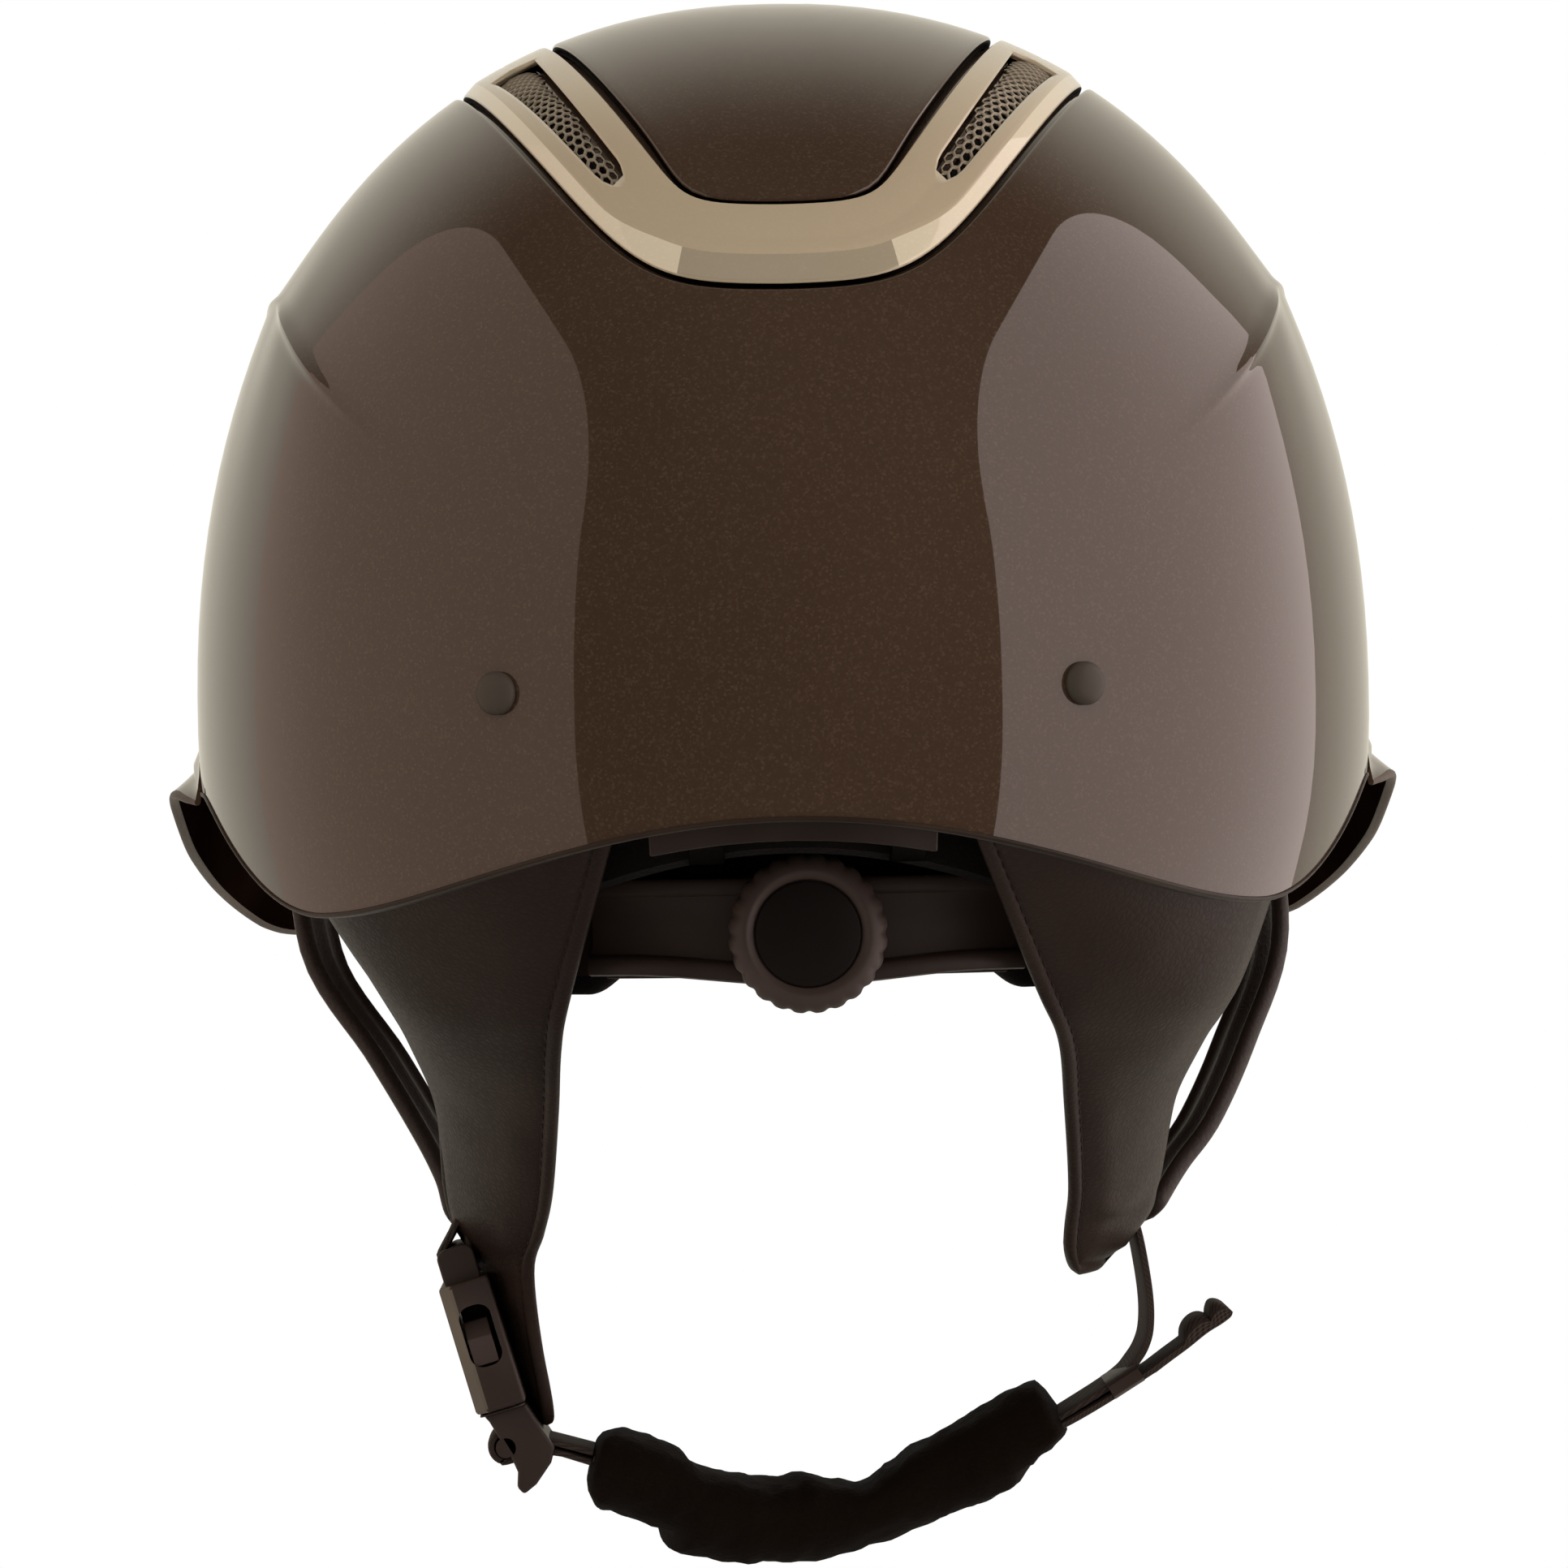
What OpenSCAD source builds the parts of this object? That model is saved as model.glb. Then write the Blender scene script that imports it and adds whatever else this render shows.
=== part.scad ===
// Riding helmet with a wide peak, an inlaid vent frame, leather harness and a dial-set nape cradle.
// Millimetres. The peak points to -Y, the wearer's left is +X, and the origin is the inside of
// the crown, where the top of the head touches the liner.

/* [Shell] */
// Width of the shell over both sides
shell_w = 212; // [196:1:230]
// Reach of the shell behind the crown
shell_rear = 134; // [126:1:146]
// Reach of the shell ahead of the crown
shell_front = 128; // [120:1:140]
// Height of the crown above the widest level
shell_rise = 127; // [118:1:136]
// How slowly the shell draws in below the widest level
shell_tuck = 105; // [90:1:130]
// Squareness of the dome, where 2 is an ellipsoid
squareness = 2.2; // [2.05:0.05:2.4]
// Wall of the shell
shell_wall = 2.6; // [2:0.1:3.5]
// Height of the crease on each side of the shell
crease_lift = 1.2; // [0.4:0.1:2]

/* [Rim] */
// Drop of the rim below the crown at the nape
rim_rear = 146.6; // [140:0.5:150]
// Drop of the rim at its lowest, behind each ear
rim_corner = 162; // [156:0.5:166]
// Drop of the rim over each ear
rim_side = 141; // [136:0.5:146]
// Drop of the rim at the brow
rim_front = 118; // [112:0.5:124]
// Height of the trim's inner lip
trim_h = 2.4; // [1.6:0.1:3.2]
// Height of the trim's outer lip
trim_lip = 0.4; // [0.2:0.1:2.4]
// Wall of the trim
trim_t = 0.7; // [0.5:0.1:1.2]

/* [Vent frame and crown panel] */
// Half width of the vent frame in plan
frame_half = 56.5; // [52:0.5:62]
// Reach of the vent frame to the rear in plan
frame_rear = 117.8; // [110:0.2:120]
// Reach of the vent frame to the front in plan
frame_front = 104; // [96:0.5:110]
// Width of the vent frame over its face
frame_w = 17.2; // [15:0.2:22]
// Depth of the bed that the frame and the crown panel lie in
inlay_depth = 2.2; // [1.6:0.1:3]
// Gap beside the vent frame
inlay_gap = 1.2; // [0.8:0.1:1.6]
// How far the frame stands proud of the shell
frame_proud = 0.5; // [0.2:0.1:1]
// Azimuth of the wide end of each vent slot
slot_from = 36; // [30:1:44]
// Azimuth of the narrow end of each vent slot
slot_to = 72; // [64:1:76]
// Width of a vent slot at its wide end
slot_wide = 9; // [7:0.1:11]
// Width of a vent slot at its narrow end
slot_narrow = 4; // [3:0.1:5]
// Thickness of the vent mesh
mesh_t = 0.8; // [0.6:0.1:1.2]

/* [Peak] */
// Reach of the peak beyond the shell at the brow
peak_reach = 62; // [45:1:70]
// Drop of the peak's edge where it leaves the shell
peak_root_drop = 136; // [130:0.5:138]
// Further drop of the peak's edge to its lowest place, ahead of each ear
peak_fall = 30; // [25:0.5:38]
// Height of the peak's arch over the brow
peak_arch = 11; // [4:0.5:16]
// Thickness of the peak
peak_t = 2.2; // [1.6:0.1:3]
// Height of the flange that seats the peak on the shell
peak_flange = 9; // [6:0.5:12]

/* [Foam and padding] */
// Thickness of the foam liner
foam_t = 21; // [16:0.5:25]
// Thickness of the crown pad and of the comfort band
pad_t = 6; // [4:0.5:8]
// Gap between the foam and the padding, which the hook and loop dots fill
pad_gap = 1.6; // [1.2:0.1:2.2]
// Diameter of a hook and loop dot
dot_d = 12; // [8:1:14]

/* [Harness] */
// Thickness of the harness leather
leather_t = 2.6; // [2:0.1:3.2]
// Thickness of the webbing
web_t = 1.6; // [1.2:0.1:2]
// Width of the webbing
web_w = 20; // [18:0.5:22]
// Width of the front harness strap
front_strap_w = 18; // [14:0.5:22]
// Height of a harness rivet below the crown
rivet_drop = 125; // [120:0.5:130]
// Distance of a harness rivet from the middle
rivet_x = 49; // [44:0.5:54]
// Diameter of a harness rivet's head
rivet_head_d = 7.3; // [6:0.1:9]
// Diameter of a harness rivet's post
rivet_post_d = 4; // [3:0.1:4.6]
// Width of the chin pad
chin_pad_w = 30; // [26:0.5:36]
// Height of the chin pad
chin_pad_h = 14; // [11:0.5:17]

/* [Buckle] */
// Width of the side release buckle
buckle_w = 30; // [27:0.5:34]
// Length of the buckle's housing
housing_len = 24; // [22:0.5:28]
// Thickness of the buckle's housing
housing_t = 9.4; // [8.6:0.1:11]
// Wall of the buckle's housing
housing_wall = 1.8; // [1.4:0.1:2.2]
// Running clearance inside the buckle
buckle_gap = 0.35; // [0.25:0.05:0.5]

/* [Cradle] */
// Radius of the nape band
band_r = 73; // [71:0.5:75]
// Height of the nape band
band_h = 15.8; // [14:0.2:17]
// Thickness of the nape band
band_t = 1.8; // [1.4:0.1:2.2]
// Drop of the middle of the nape band below the rim at the nape
band_hang = 19.9; // [18:0.1:24]
// Sideways set of the cradle, as it hangs in its straps
cradle_x = -2.5; // [-4:0.5:4]
// Half angle of the cradle housing
housing_half_a = 29; // [26:0.5:32]
// Diameter of the dial
dial_d = 27.2; // [24:0.2:30]
// Depth of the dial
dial_h = 8; // [6:0.5:10]
// Tooth size of the pinion and the racks
gear_module = 0.9; // [0.8:0.05:0.95]
// Teeth of the pinion
pinion_teeth = 10; // [8:2:12]

/* [Hidden] */

$fn = 48;
fit = 0.3;               // clearance between pieces that lie on each other
run = 0.08;              // clearance of a shaft in its bore
columns = 60;            // facets round the shell

shell_brown = [0.26, 0.21, 0.17];
champagne = [0.66, 0.60, 0.50];
mesh_grey = [0.42, 0.39, 0.35];
foam_black = [0.12, 0.12, 0.12];
pad_black = [0.16, 0.15, 0.14];
leather_brown = [0.20, 0.14, 0.11];
web_brown = [0.25, 0.22, 0.20];
plastic_brown = [0.20, 0.17, 0.15];
steel = [0.62, 0.62, 0.60];

// The crown's top stands this far above the origin
crown_top = shell_wall + fit + foam_t + pad_gap + pad_t;
level = crown_top - shell_rise;

// The dome. An inset point lies that far inside the shell's outer surface.
function reach(a, d = 0) = 1 / pow(pow(abs(cos(a)) / (shell_w / 2 - d), squareness)
    + pow(abs(sin(a)) / ((sin(a) > 0 ? shell_rear : shell_front) - d), squareness), 1 / squareness);
function dome_polar(a, f, d = 0) = let (
    r = reach(a, d) * pow(sin(f), 2 / squareness),
    c = cos(f),
    z = c >= 0 ? (shell_rise - d) * pow(c, 2 / squareness) : -shell_tuck * pow(-c, 2 / squareness))
    [r * cos(a), r * sin(a), level + z];
function polar_of_drop(drop, d = 0) = let (z = crown_top - drop - level) z >= 0
    ? acos(min(1, pow(z / (shell_rise - d), squareness / 2)))
    : 90 + asin(min(1, pow(-z / shell_tuck, squareness / 2)));
function over_plan(p, d = 0) = let (
    back = (p[1] > 0 ? shell_rear : shell_front) - d,
    rho = pow(pow(abs(p[0]) / (shell_w / 2 - d), squareness) + pow(abs(p[1]) / back, squareness),
        1 / squareness))
    [p[0], p[1], level + (shell_rise - d) * pow(max(0, 1 - pow(rho, squareness)), 1 / squareness)];
// Outward normal of the dome at azimuth a and drop
function dome_normal(a, drop) = let (
    f = polar_of_drop(drop),
    u = dome_polar(a + 1, f) - dome_polar(a - 1, f),
    v = dome_polar(a, f - 1) - dome_polar(a, f + 1),
    n = cross(u, v))
    n / norm(n);

function ease(t) = (1 - cos(180 * min(1, max(0, t)))) / 2;
function mix(a, b, t) = a + (b - a) * t;
function flat(lists) = [for (l = lists) each l];

// The rim drops from the nape to a corner behind the ear, and rises again to the brow
corner_a = 46;           // azimuth of the rim's lowest place
ear_a = 13;              // azimuth of the rim over the ear
function rim_drop(a) = let (s = asin(sin(a))) s >= corner_a
    ? mix(rim_corner, rim_rear, ease((s - corner_a) / (90 - corner_a)))
    : s >= ear_a ? mix(rim_side, rim_corner, ease((s - ear_a) / (corner_a - ear_a)))
    : mix(rim_side, rim_front, ease((ear_a - s) / (ear_a + 90)));

// The crease runs from the temple to the rear and fades there
crease_side_drop = 54;   // drop of the crease at the side
crease_rear_drop = 105;  // drop that it heads for at the rear
crease_front_drop = 78;  // drop of the crease at the brow
crease_top_a = 10;       // azimuth of its highest place
function crease_drop(a) = let (s = asin(sin(a))) s > crease_top_a
    ? mix(crease_side_drop, crease_rear_drop, ease((s - crease_top_a) / (90 - crease_top_a)))
    : mix(crease_side_drop, crease_front_drop, ease((crease_top_a - s) / (90 + crease_top_a)));
function crease_fade(a) = let (s = asin(sin(a))) 1 - ease((s - 35) / 25);

// The vent frame's outer edge in plan, and points at a distance inside it
frame_taper = 1.05;      // the rear of the plan's ellipse, which a straight bar cuts off
frame_corner = 19.7;     // how sharply the bar meets the arms
function frame_oval(a) = 1 / norm([cos(a) / frame_half,
    sin(a) / (sin(a) > 0 ? frame_taper * frame_rear : frame_front)]);
function frame_reach(a) = 1 / pow(pow(1 / frame_oval(a), frame_corner)
    + pow(max(0, sin(a)) / frame_rear, frame_corner), 1 / frame_corner);
function frame_edge(a) = frame_reach(a) * [cos(a), sin(a)];
function frame_out(a) = let (t = frame_edge(a + 1) - frame_edge(a - 1)) [t[1], -t[0]] / norm(t);
// Share of a length across the frame that its plan keeps where the dome slopes
function plan_share(a) = let (
    step = 8,
    p = frame_edge(a),
    q = p - step * frame_out(a),
    rise = over_plan(q)[2] - over_plan(p)[2])
    step / norm([step, rise]);
function in_plan(a, s) = frame_edge(a) - s * plan_share(a) * frame_out(a);
function polar_of_plan(a, p) = asin(min(1, pow(norm(p) / reach(a), squareness / 2)));

azimuths = [for (i = [0 : columns - 1]) 90 + 360 * i / columns];

// Rows of the shell: 0 at the rim, 1 at the crease, 2 at the inlay's edge
function row_polar(a, t) = let (
    rim = polar_of_drop(rim_drop(a)),
    crease = polar_of_drop(crease_drop(a)),
    edge = polar_of_plan(a, in_plan(a, -inlay_gap)))
    t <= 1 ? mix(rim, crease, t) : mix(crease, edge, t - 1);
function wall_row(t, d) = [for (a = azimuths)
    dome_polar(a, row_polar(a, t), d - (t == 1 ? crease_lift * crease_fade(a) : 0))];
// Rows over the crown, s inside the frame's outer edge, and t of the way from the panel's edge
function inlay_row(s, d) = [for (a = azimuths) over_plan(in_plan(a, s), d)];
function panel_edge(a, gap) = in_plan(a, frame_w + gap);
function crown_row(t, d, gap) = [for (a = azimuths) over_plan(panel_edge(a, gap) * t, d)];
function crown_pole(d) = [0, 0, crown_top - d];
// A plan point carried square to the dome to a deep inset, and rows of such points
function deep(p, d) = let (a = atan2(p[1], p[0])) dome_polar(a, polar_of_plan(a, p), d);
function deep_row(s, d) = [for (a = azimuths) deep(in_plan(a, s), d)];
function deep_slot_row(side, d) = [for (a = azimuths) deep(in_plan(a, slot_edge(a, side, slot_ledge)), d)];
function deep_crown_row(t, d) = [for (a = azimuths) deep(panel_edge(a, 0) * t, d)];
function inner_rows(d) = [for (k = [1 : 4]) crown_row(crown_steps[k], d, 0)];

// A wall between two grids of points, each a list of rows that run the same way round.
// open(r, c) is true where a cell is left out, and ends holds the two points of a closed top.
module wall(outer, inner, wrap = false, open = function (r, c) false, ends = []) {
    rows = len(outer);
    cols = len(outer[0]);
    cells = wrap ? cols : cols - 1;
    under = rows * cols;
    function o(r, c) = r * cols + c % cols;
    function i(r, c) = under + r * cols + c % cols;
    function solid(r, c) = r < 0 || r > rows - 2 ? false
        : !wrap && (c < 0 || c >= cells) ? false : !open(r, (c + cells) % cells);
    capped = len(ends) == 2;
    top = 2 * under;
    polyhedron(
        points = concat(flat(outer), flat(inner), ends),
        faces = flat([for (r = [0 : rows - 2], c = [0 : cells - 1]) if (solid(r, c)) [
            [o(r, c), o(r + 1, c), o(r + 1, c + 1)],
            [o(r, c), o(r + 1, c + 1), o(r, c + 1)],
            [i(r, c), i(r + 1, c + 1), i(r + 1, c)],
            [i(r, c), i(r, c + 1), i(r + 1, c + 1)],
            if (!solid(r - 1, c)) each [
                [o(r, c), o(r, c + 1), i(r, c + 1)],
                [o(r, c), i(r, c + 1), i(r, c)]],
            if (!solid(r + 1, c) && !(capped && r == rows - 2)) each [
                [o(r + 1, c + 1), o(r + 1, c), i(r + 1, c)],
                [o(r + 1, c + 1), i(r + 1, c), i(r + 1, c + 1)]],
            if (!solid(r, c - 1)) each [
                [o(r + 1, c), o(r, c), i(r, c)],
                [o(r + 1, c), i(r, c), i(r + 1, c)]],
            if (!solid(r, c + 1)) each [
                [o(r, c + 1), o(r + 1, c + 1), i(r + 1, c + 1)],
                [o(r, c + 1), i(r + 1, c + 1), i(r, c + 1)]],
            if (capped && r == rows - 2) each [
                [o(r + 1, c + 1), o(r + 1, c), top],
                [i(r + 1, c), i(r + 1, c + 1), top + 1]]]]));
}

// A flat strap along points. hints gives, for each point, about which way its width lies.
function unit(v) = v / norm(v);
module strap(points, hints, width, thick) {
    last = len(points) - 1;
    frames = [for (k = [0 : last]) let (
        along = unit(points[min(last, k + 1)] - points[max(0, k - 1)]),
        across = unit(hints[k] - along * (hints[k] * along)))
        [across, cross(across, along)]];
    function side(s) = [for (k = [0 : last]) [for (e = [-0.5, 0.5])
        points[k] + frames[k][0] * width * e + frames[k][1] * s * thick / 2]];
    wall(side(1), side(-1));
}

module both_sides() {
    children();
    mirror([1, 0, 0]) children();
}

// The vent slots, as a share of the frame's face between the margins on each side
function slot_share(a) = min(1, max(0, (asin(sin(a)) - slot_from) / (slot_to - slot_from)));
function slot_width(a) = mix(slot_wide, slot_narrow, slot_share(a));
function slot_edge(a, side, shrink) = frame_w / 2 + side * (slot_width(a) / 2 - shrink);
function in_slot(c) = let (a = azimuths[0] + 360 * (c + 0.5) / columns, s = asin(sin(a)))
    s > slot_from && s < slot_to;
function slot_row(side, shrink, d) = [for (a = azimuths)
    over_plan(in_plan(a, slot_edge(a, side, shrink)), d)];

wall_steps = [0, 0.08, 0.3, 0.53, 0.76, 1, 1.33, 1.67];
crown_steps = [1, 0.87, 0.7, 0.46, 0.23];
step_back = 0.3;         // draft of the inlay's edge
slot_ledge = 0.9;        // the shell's ledge that carries a vent mesh

// Rows over the inlay's bed at inset d, with the shell's slots open between rows 1 and 2
function bed_rows(d, edge, shrink) = [inlay_row(edge, d), slot_row(-1, shrink, d),
    slot_row(1, shrink, d), each [for (t = crown_steps) crown_row(t, d, 0)]];

module outer_shell() {
    skin = [for (t = wall_steps) wall_row(t, 0)];
    lining = [for (t = wall_steps) wall_row(t, shell_wall)];
    edge = -inlay_gap;
    back = edge - shell_wall;
    outer = concat(skin, [inlay_row(edge, 0)], bed_rows(inlay_depth, edge + step_back, slot_ledge));
    inner = concat(lining, [inlay_row(back, shell_wall)],
        bed_rows(inlay_depth + shell_wall, back + step_back, slot_ledge));
    first = len(wall_steps) + 2;
    color(shell_brown) difference() {
        wall(outer, inner, wrap = true, open = function (r, c) r == first && in_slot(c),
            ends = [crown_pole(inlay_depth), crown_pole(inlay_depth + shell_wall)]);
        both_sides() at_rivet() cylinder(d = rivet_post_d + fit, h = 30, center = true);
    }
}

// The rivets stand square to the shell behind each ear
rivet_f = polar_of_drop(rivet_drop);
function rivet_azimuth(a = 68, n = 8) = n == 0 ? a
    : rivet_azimuth(a + (dome_polar(a, rivet_f)[0] - rivet_x) / shell_rear * 57, n - 1);
rivet_a = rivet_azimuth();
rivet_n = dome_normal(rivet_a, rivet_drop);
module at_rivet(d = 0) {
    translate(dome_polar(rivet_a, rivet_f) - rivet_n * d)
        rotate([0, acos(rivet_n[2]), atan2(rivet_n[1], rivet_n[0])]) children();
}

// A U of soft rubber over the shell's rim
module edge_trim() {
    seat = 0.15;
    function rim_row(up, d) = [for (a = azimuths)
        dome_polar(a, polar_of_drop(rim_drop(a) - up), d)];
    inside = shell_wall + fit;
    low = -seat - trim_t;
    color(plastic_brown) ring_sweep([rim_row(low, inside + trim_t), rim_row(low, low),
        rim_row(trim_lip, low), rim_row(trim_lip, -seat), rim_row(-seat, -seat), rim_row(-seat, inside),
        rim_row(trim_h, inside), rim_row(trim_h, inside + trim_t)]);
}

// A closed ring through rows that are the corners of its section, in order
module ring_sweep(rows) {
    n = len(rows);
    m = len(rows[0]);
    function p(r, c) = (r % n) * m + c % m;
    polyhedron(points = flat(rows), faces = flat([for (r = [0 : n - 1], c = [0 : m - 1]) [
        [p(r, c), p(r + 1, c), p(r + 1, c + 1)],
        [p(r, c), p(r + 1, c + 1), p(r, c + 1)]]]));
}

module crown_panel() {
    top = -0.2;
    seat = inlay_depth - fit;
    function rows(d) = concat([crown_row(1, d, inlay_gap)], inner_rows(d));
    color(shell_brown) wall(rows(top), rows(seat), wrap = true, ends = [crown_pole(top), crown_pole(seat)]);
}

frame_chamfer = 1.6;     // width of the bevel along the frame's outer edge
module vent_frame() {
    function rows(top) = [inlay_row(0, top ? 0.4 : inlay_depth - fit),
        inlay_row(frame_chamfer, top ? -frame_proud : inlay_depth - fit),
        slot_row(-1, 0, top ? -frame_proud : inlay_depth - fit),
        slot_row(1, 0, top ? -frame_proud : inlay_depth - fit),
        inlay_row(frame_w, top ? -frame_proud : inlay_depth - fit)];
    color(champagne) wall(rows(true), rows(false), wrap = true,
        open = function (r, c) r == 2 && in_slot(c));
}

// A perforated plate in each slot, resting on the shell's ledge
mesh_rows = 3;
mesh_cols = 13;
module vent_mesh() {
    side = 0.45;
    rows = 2 * mesh_rows;
    cols = 2 * mesh_cols;
    seat = inlay_depth - fit;
    cell = 360 / columns;
    from = 90 + cell * ceil((slot_from - 90) / cell) + side;
    to = 90 + cell * floor((slot_to - 90) / cell) - side;
    function sheet(d) = [for (r = [0 : rows]) [for (c = [0 : cols]) let (a = mix(from, to, c / cols))
        over_plan(in_plan(a, mix(slot_edge(a, -1, fit), slot_edge(a, 1, fit), r / rows)), d)]];
    color(mesh_grey) wall(sheet(seat - mesh_t), sheet(seat),
        open = function (r, c) r > 0 && r < rows - 1 && c > 0 && c < cols - 1
            && r % 2 == 1 && c % 2 == (r % 4 == 1 ? 1 : 0));
}
module left_vent_mesh() { vent_mesh(); }
module right_vent_mesh() { mirror([1, 0, 0]) vent_mesh(); }

// The peak's edge, by share s of the way from one temple over the brow to the other
peak_from = 3;           // degrees ahead of the ear where the peak starts
peak_root = 6;           // reach of the peak beyond the shell at its root
peak_columns = 36;
module peak() {
    function az(c) = mix(-peak_from, peak_from - 180, c / peak_columns);
    function share(a) = abs(asin(sin(a))) / 90;
    function out(a) = let (s = share(a), ends = min(1, (s * 90 - peak_from) / 9 + 0.08))
        (fit + peak_root + (peak_reach - peak_root) * pow(sin(90 * s), 3))
        * sqrt(max(0, 1 - pow(1 - ends, 2)));
    function edge(a) = let (s = share(a), r = reach(a) + out(a),
        z = crown_top - peak_root_drop - peak_fall * pow(sin(90 * min(1, s / 0.68)), 1.2)
            + peak_arch * ease((s - 0.5) / 0.5))
        [r * cos(a), r * sin(a), z];
    function flange(a) = mix(5.2, peak_flange, ease((share(a) * 90 - peak_from) / 16));
    function seat(a, up, gap) = dome_polar(a, polar_of_drop(rim_drop(a) - trim_h - up), -gap);
    function brim(a, w, lift) = let (p = seat(a, 1.5, fit + peak_t / 2), q = edge(a))
        mix(p, q, w) + [0, 0, lift + peak_reach * 0.06 * sin(180 * w) * share(a)];
    ways = [0.12, 0.4, 0.7, 1];
    function face(up) = [for (c = [0 : peak_columns]) let (a = az(c)) concat(
        [seat(a, flange(a), up ? fit + 1 : fit), seat(a, up ? 4.5 : 1.5, up ? fit + peak_t * 0.8 : fit)],
        [for (w = ways) brim(a, w, up ? peak_t / 2 : -peak_t / 2)])];
    color(shell_brown) wall(face(false), face(true));
}

// The foam fills the shell, keeps clear of its bed and is open under the vent slots
foam_out = shell_wall + fit;
foam_in = foam_out + foam_t;
foam_steps = [0.08, 0.3, 0.53, 1, 1.67];
module foam_liner() {
    back = -inlay_gap - shell_wall - 0.6;
    function outside() = concat([for (t = foam_steps) wall_row(t, foam_out + (t == 1 ? 0.1 : 0))],
        [inlay_row(back, foam_out)], bed_rows(inlay_depth + foam_out, back + step_back, slot_ledge));
    function inside() = concat([for (t = foam_steps) plain_row(t, foam_in)],
        [deep_row(back, foam_in), deep_row(back + 2, foam_in), deep_slot_row(-1, foam_in),
            deep_slot_row(1, foam_in)], [for (t = crown_steps) deep_crown_row(t, foam_in)]);
    first = len(foam_steps) + 2;
    color(foam_black) difference() {
        wall(outside(), inside(), wrap = true, open = function (r, c) r == first && in_slot(c),
            ends = [crown_pole(inlay_depth + foam_out), crown_pole(foam_in)]);
        both_sides() at_rivet(rivet_grip + 1) cylinder(d = washer_d + 2, h = rivet_grip + 4);
    }
}
// Polar angle of the foam's lower edge
function under_foam(a) = row_polar(a, foam_steps[0]);
function plain_row(t, d) = [for (a = azimuths) dome_polar(a, row_polar(a, t), d)];

pad_out = foam_in + pad_gap;
module comfort_band() {
    steps = [0.08, 0.3, 0.53];
    color(pad_black) wall([for (t = steps) plain_row(t, foam_in + fit)],
        [for (k = [0 : 2]) plain_row(steps[k] + [0.04, 0, -0.04][k], pad_out + pad_t - 1)], wrap = true);
}

pad_steps = [1.05, 0.87, 0.7, 0.46, 0.23];
module crown_pad() {
    function rows(d) = [for (t = pad_steps) deep_crown_row(t, d)];
    color(pad_black) wall(rows(pad_out), rows(pad_out + pad_t), wrap = true,
        open = function (r, c) r == 1 && c % 6 > 3,
        ends = [crown_pole(pad_out), crown_pole(pad_out + pad_t)]);
}

// Flat dots between the foam and the crown pad, each on a flat of the foam
module hook_and_loop_dots() {
    inset = 0.35;
    color(plastic_brown) for (a = [-90, 90], k = [1, 2]) let (
        p = deep(panel_edge(a, 0) * crown_steps[k], foam_in),
        q = deep(panel_edge(a, 0) * crown_steps[k + 1], foam_in))
        translate((p + q) / 2) rotate([atan2(q[2] - p[2], q[1] - p[1]) + (a > 0 ? 180 : 0), 0, 0])
            translate([0, 0, inset - pad_gap]) cylinder(d = dot_d, h = pad_gap - 2 * inset);
}

// Rivet with a domed head outside, and a washer that clamps the harness inside
rivet_brim = 0.8;        // straight edge of a rivet's head, and its dome above that
rivet_dome = 1.4;
washer_t = 1;
washer_d = 9;
rivet_grip = shell_wall + 2 * fit + washer_t + 0.3;
module harness_rivets() {
    color(plastic_brown) both_sides() at_rivet() {
        translate([0, 0, fit]) {
            cylinder(d = rivet_head_d, h = rivet_brim);
            translate([0, 0, rivet_brim]) rotate_extrude() polygon([[0, 0], [rivet_head_d / 2, 0],
                each [for (k = [1 : 5]) let (f = 18 * k) [rivet_head_d / 2 * cos(f), rivet_dome * sin(f)]]]);
        }
        translate([0, 0, -rivet_grip]) cylinder(d = rivet_post_d, h = rivet_grip + 0.5);
    }
}
module rivet_washers() {
    color(steel) both_sides() at_rivet(shell_wall + 2 * fit + washer_t) difference() {
        cylinder(d = washer_d, h = washer_t);
        translate([0, 0, -1]) cylinder(d = rivet_post_d + fit, h = washer_t + 2);
    }
}

// Harness leather: stations of [drop below the rim over the ear, front x, front y, rear x, rear y, bulge]
flap_top_from = 30;      // azimuth of the flap's front corner under the rim
flap_top_to = 76;        // azimuth of its rear corner
flap_sink = 9;           // how far inside the shell's surface the flap hangs
flap_stations = [
    [35, 72, 44, 37.9, 90, 9], [45, 67, 30, 40.1, 77, 7], [57, 63, 15, 41.2, 60, 5],
    [72, 57.9, 0, 42.9, 40, 3], [87, 51.9, -10, 47, 20, 1.5], [102, 48.4, -13, 46.6, 9, 0.5],
    [116, 45.4, -14, 44.5, 5, 0]];
right_flap_stations = [
    [35, 79.3, 44, 41.2, 90, 9], [45, 73.3, 30, 45.7, 77, 7], [57, 68.1, 15, 47.5, 60, 5],
    [72, 65, 0, 49, 40, 3], [80, 60.9, -5.3, 48.8, 28.5, 2], [89, 56, -11, 48.8, 17, 1.5]];
flap_across = 7;
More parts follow.
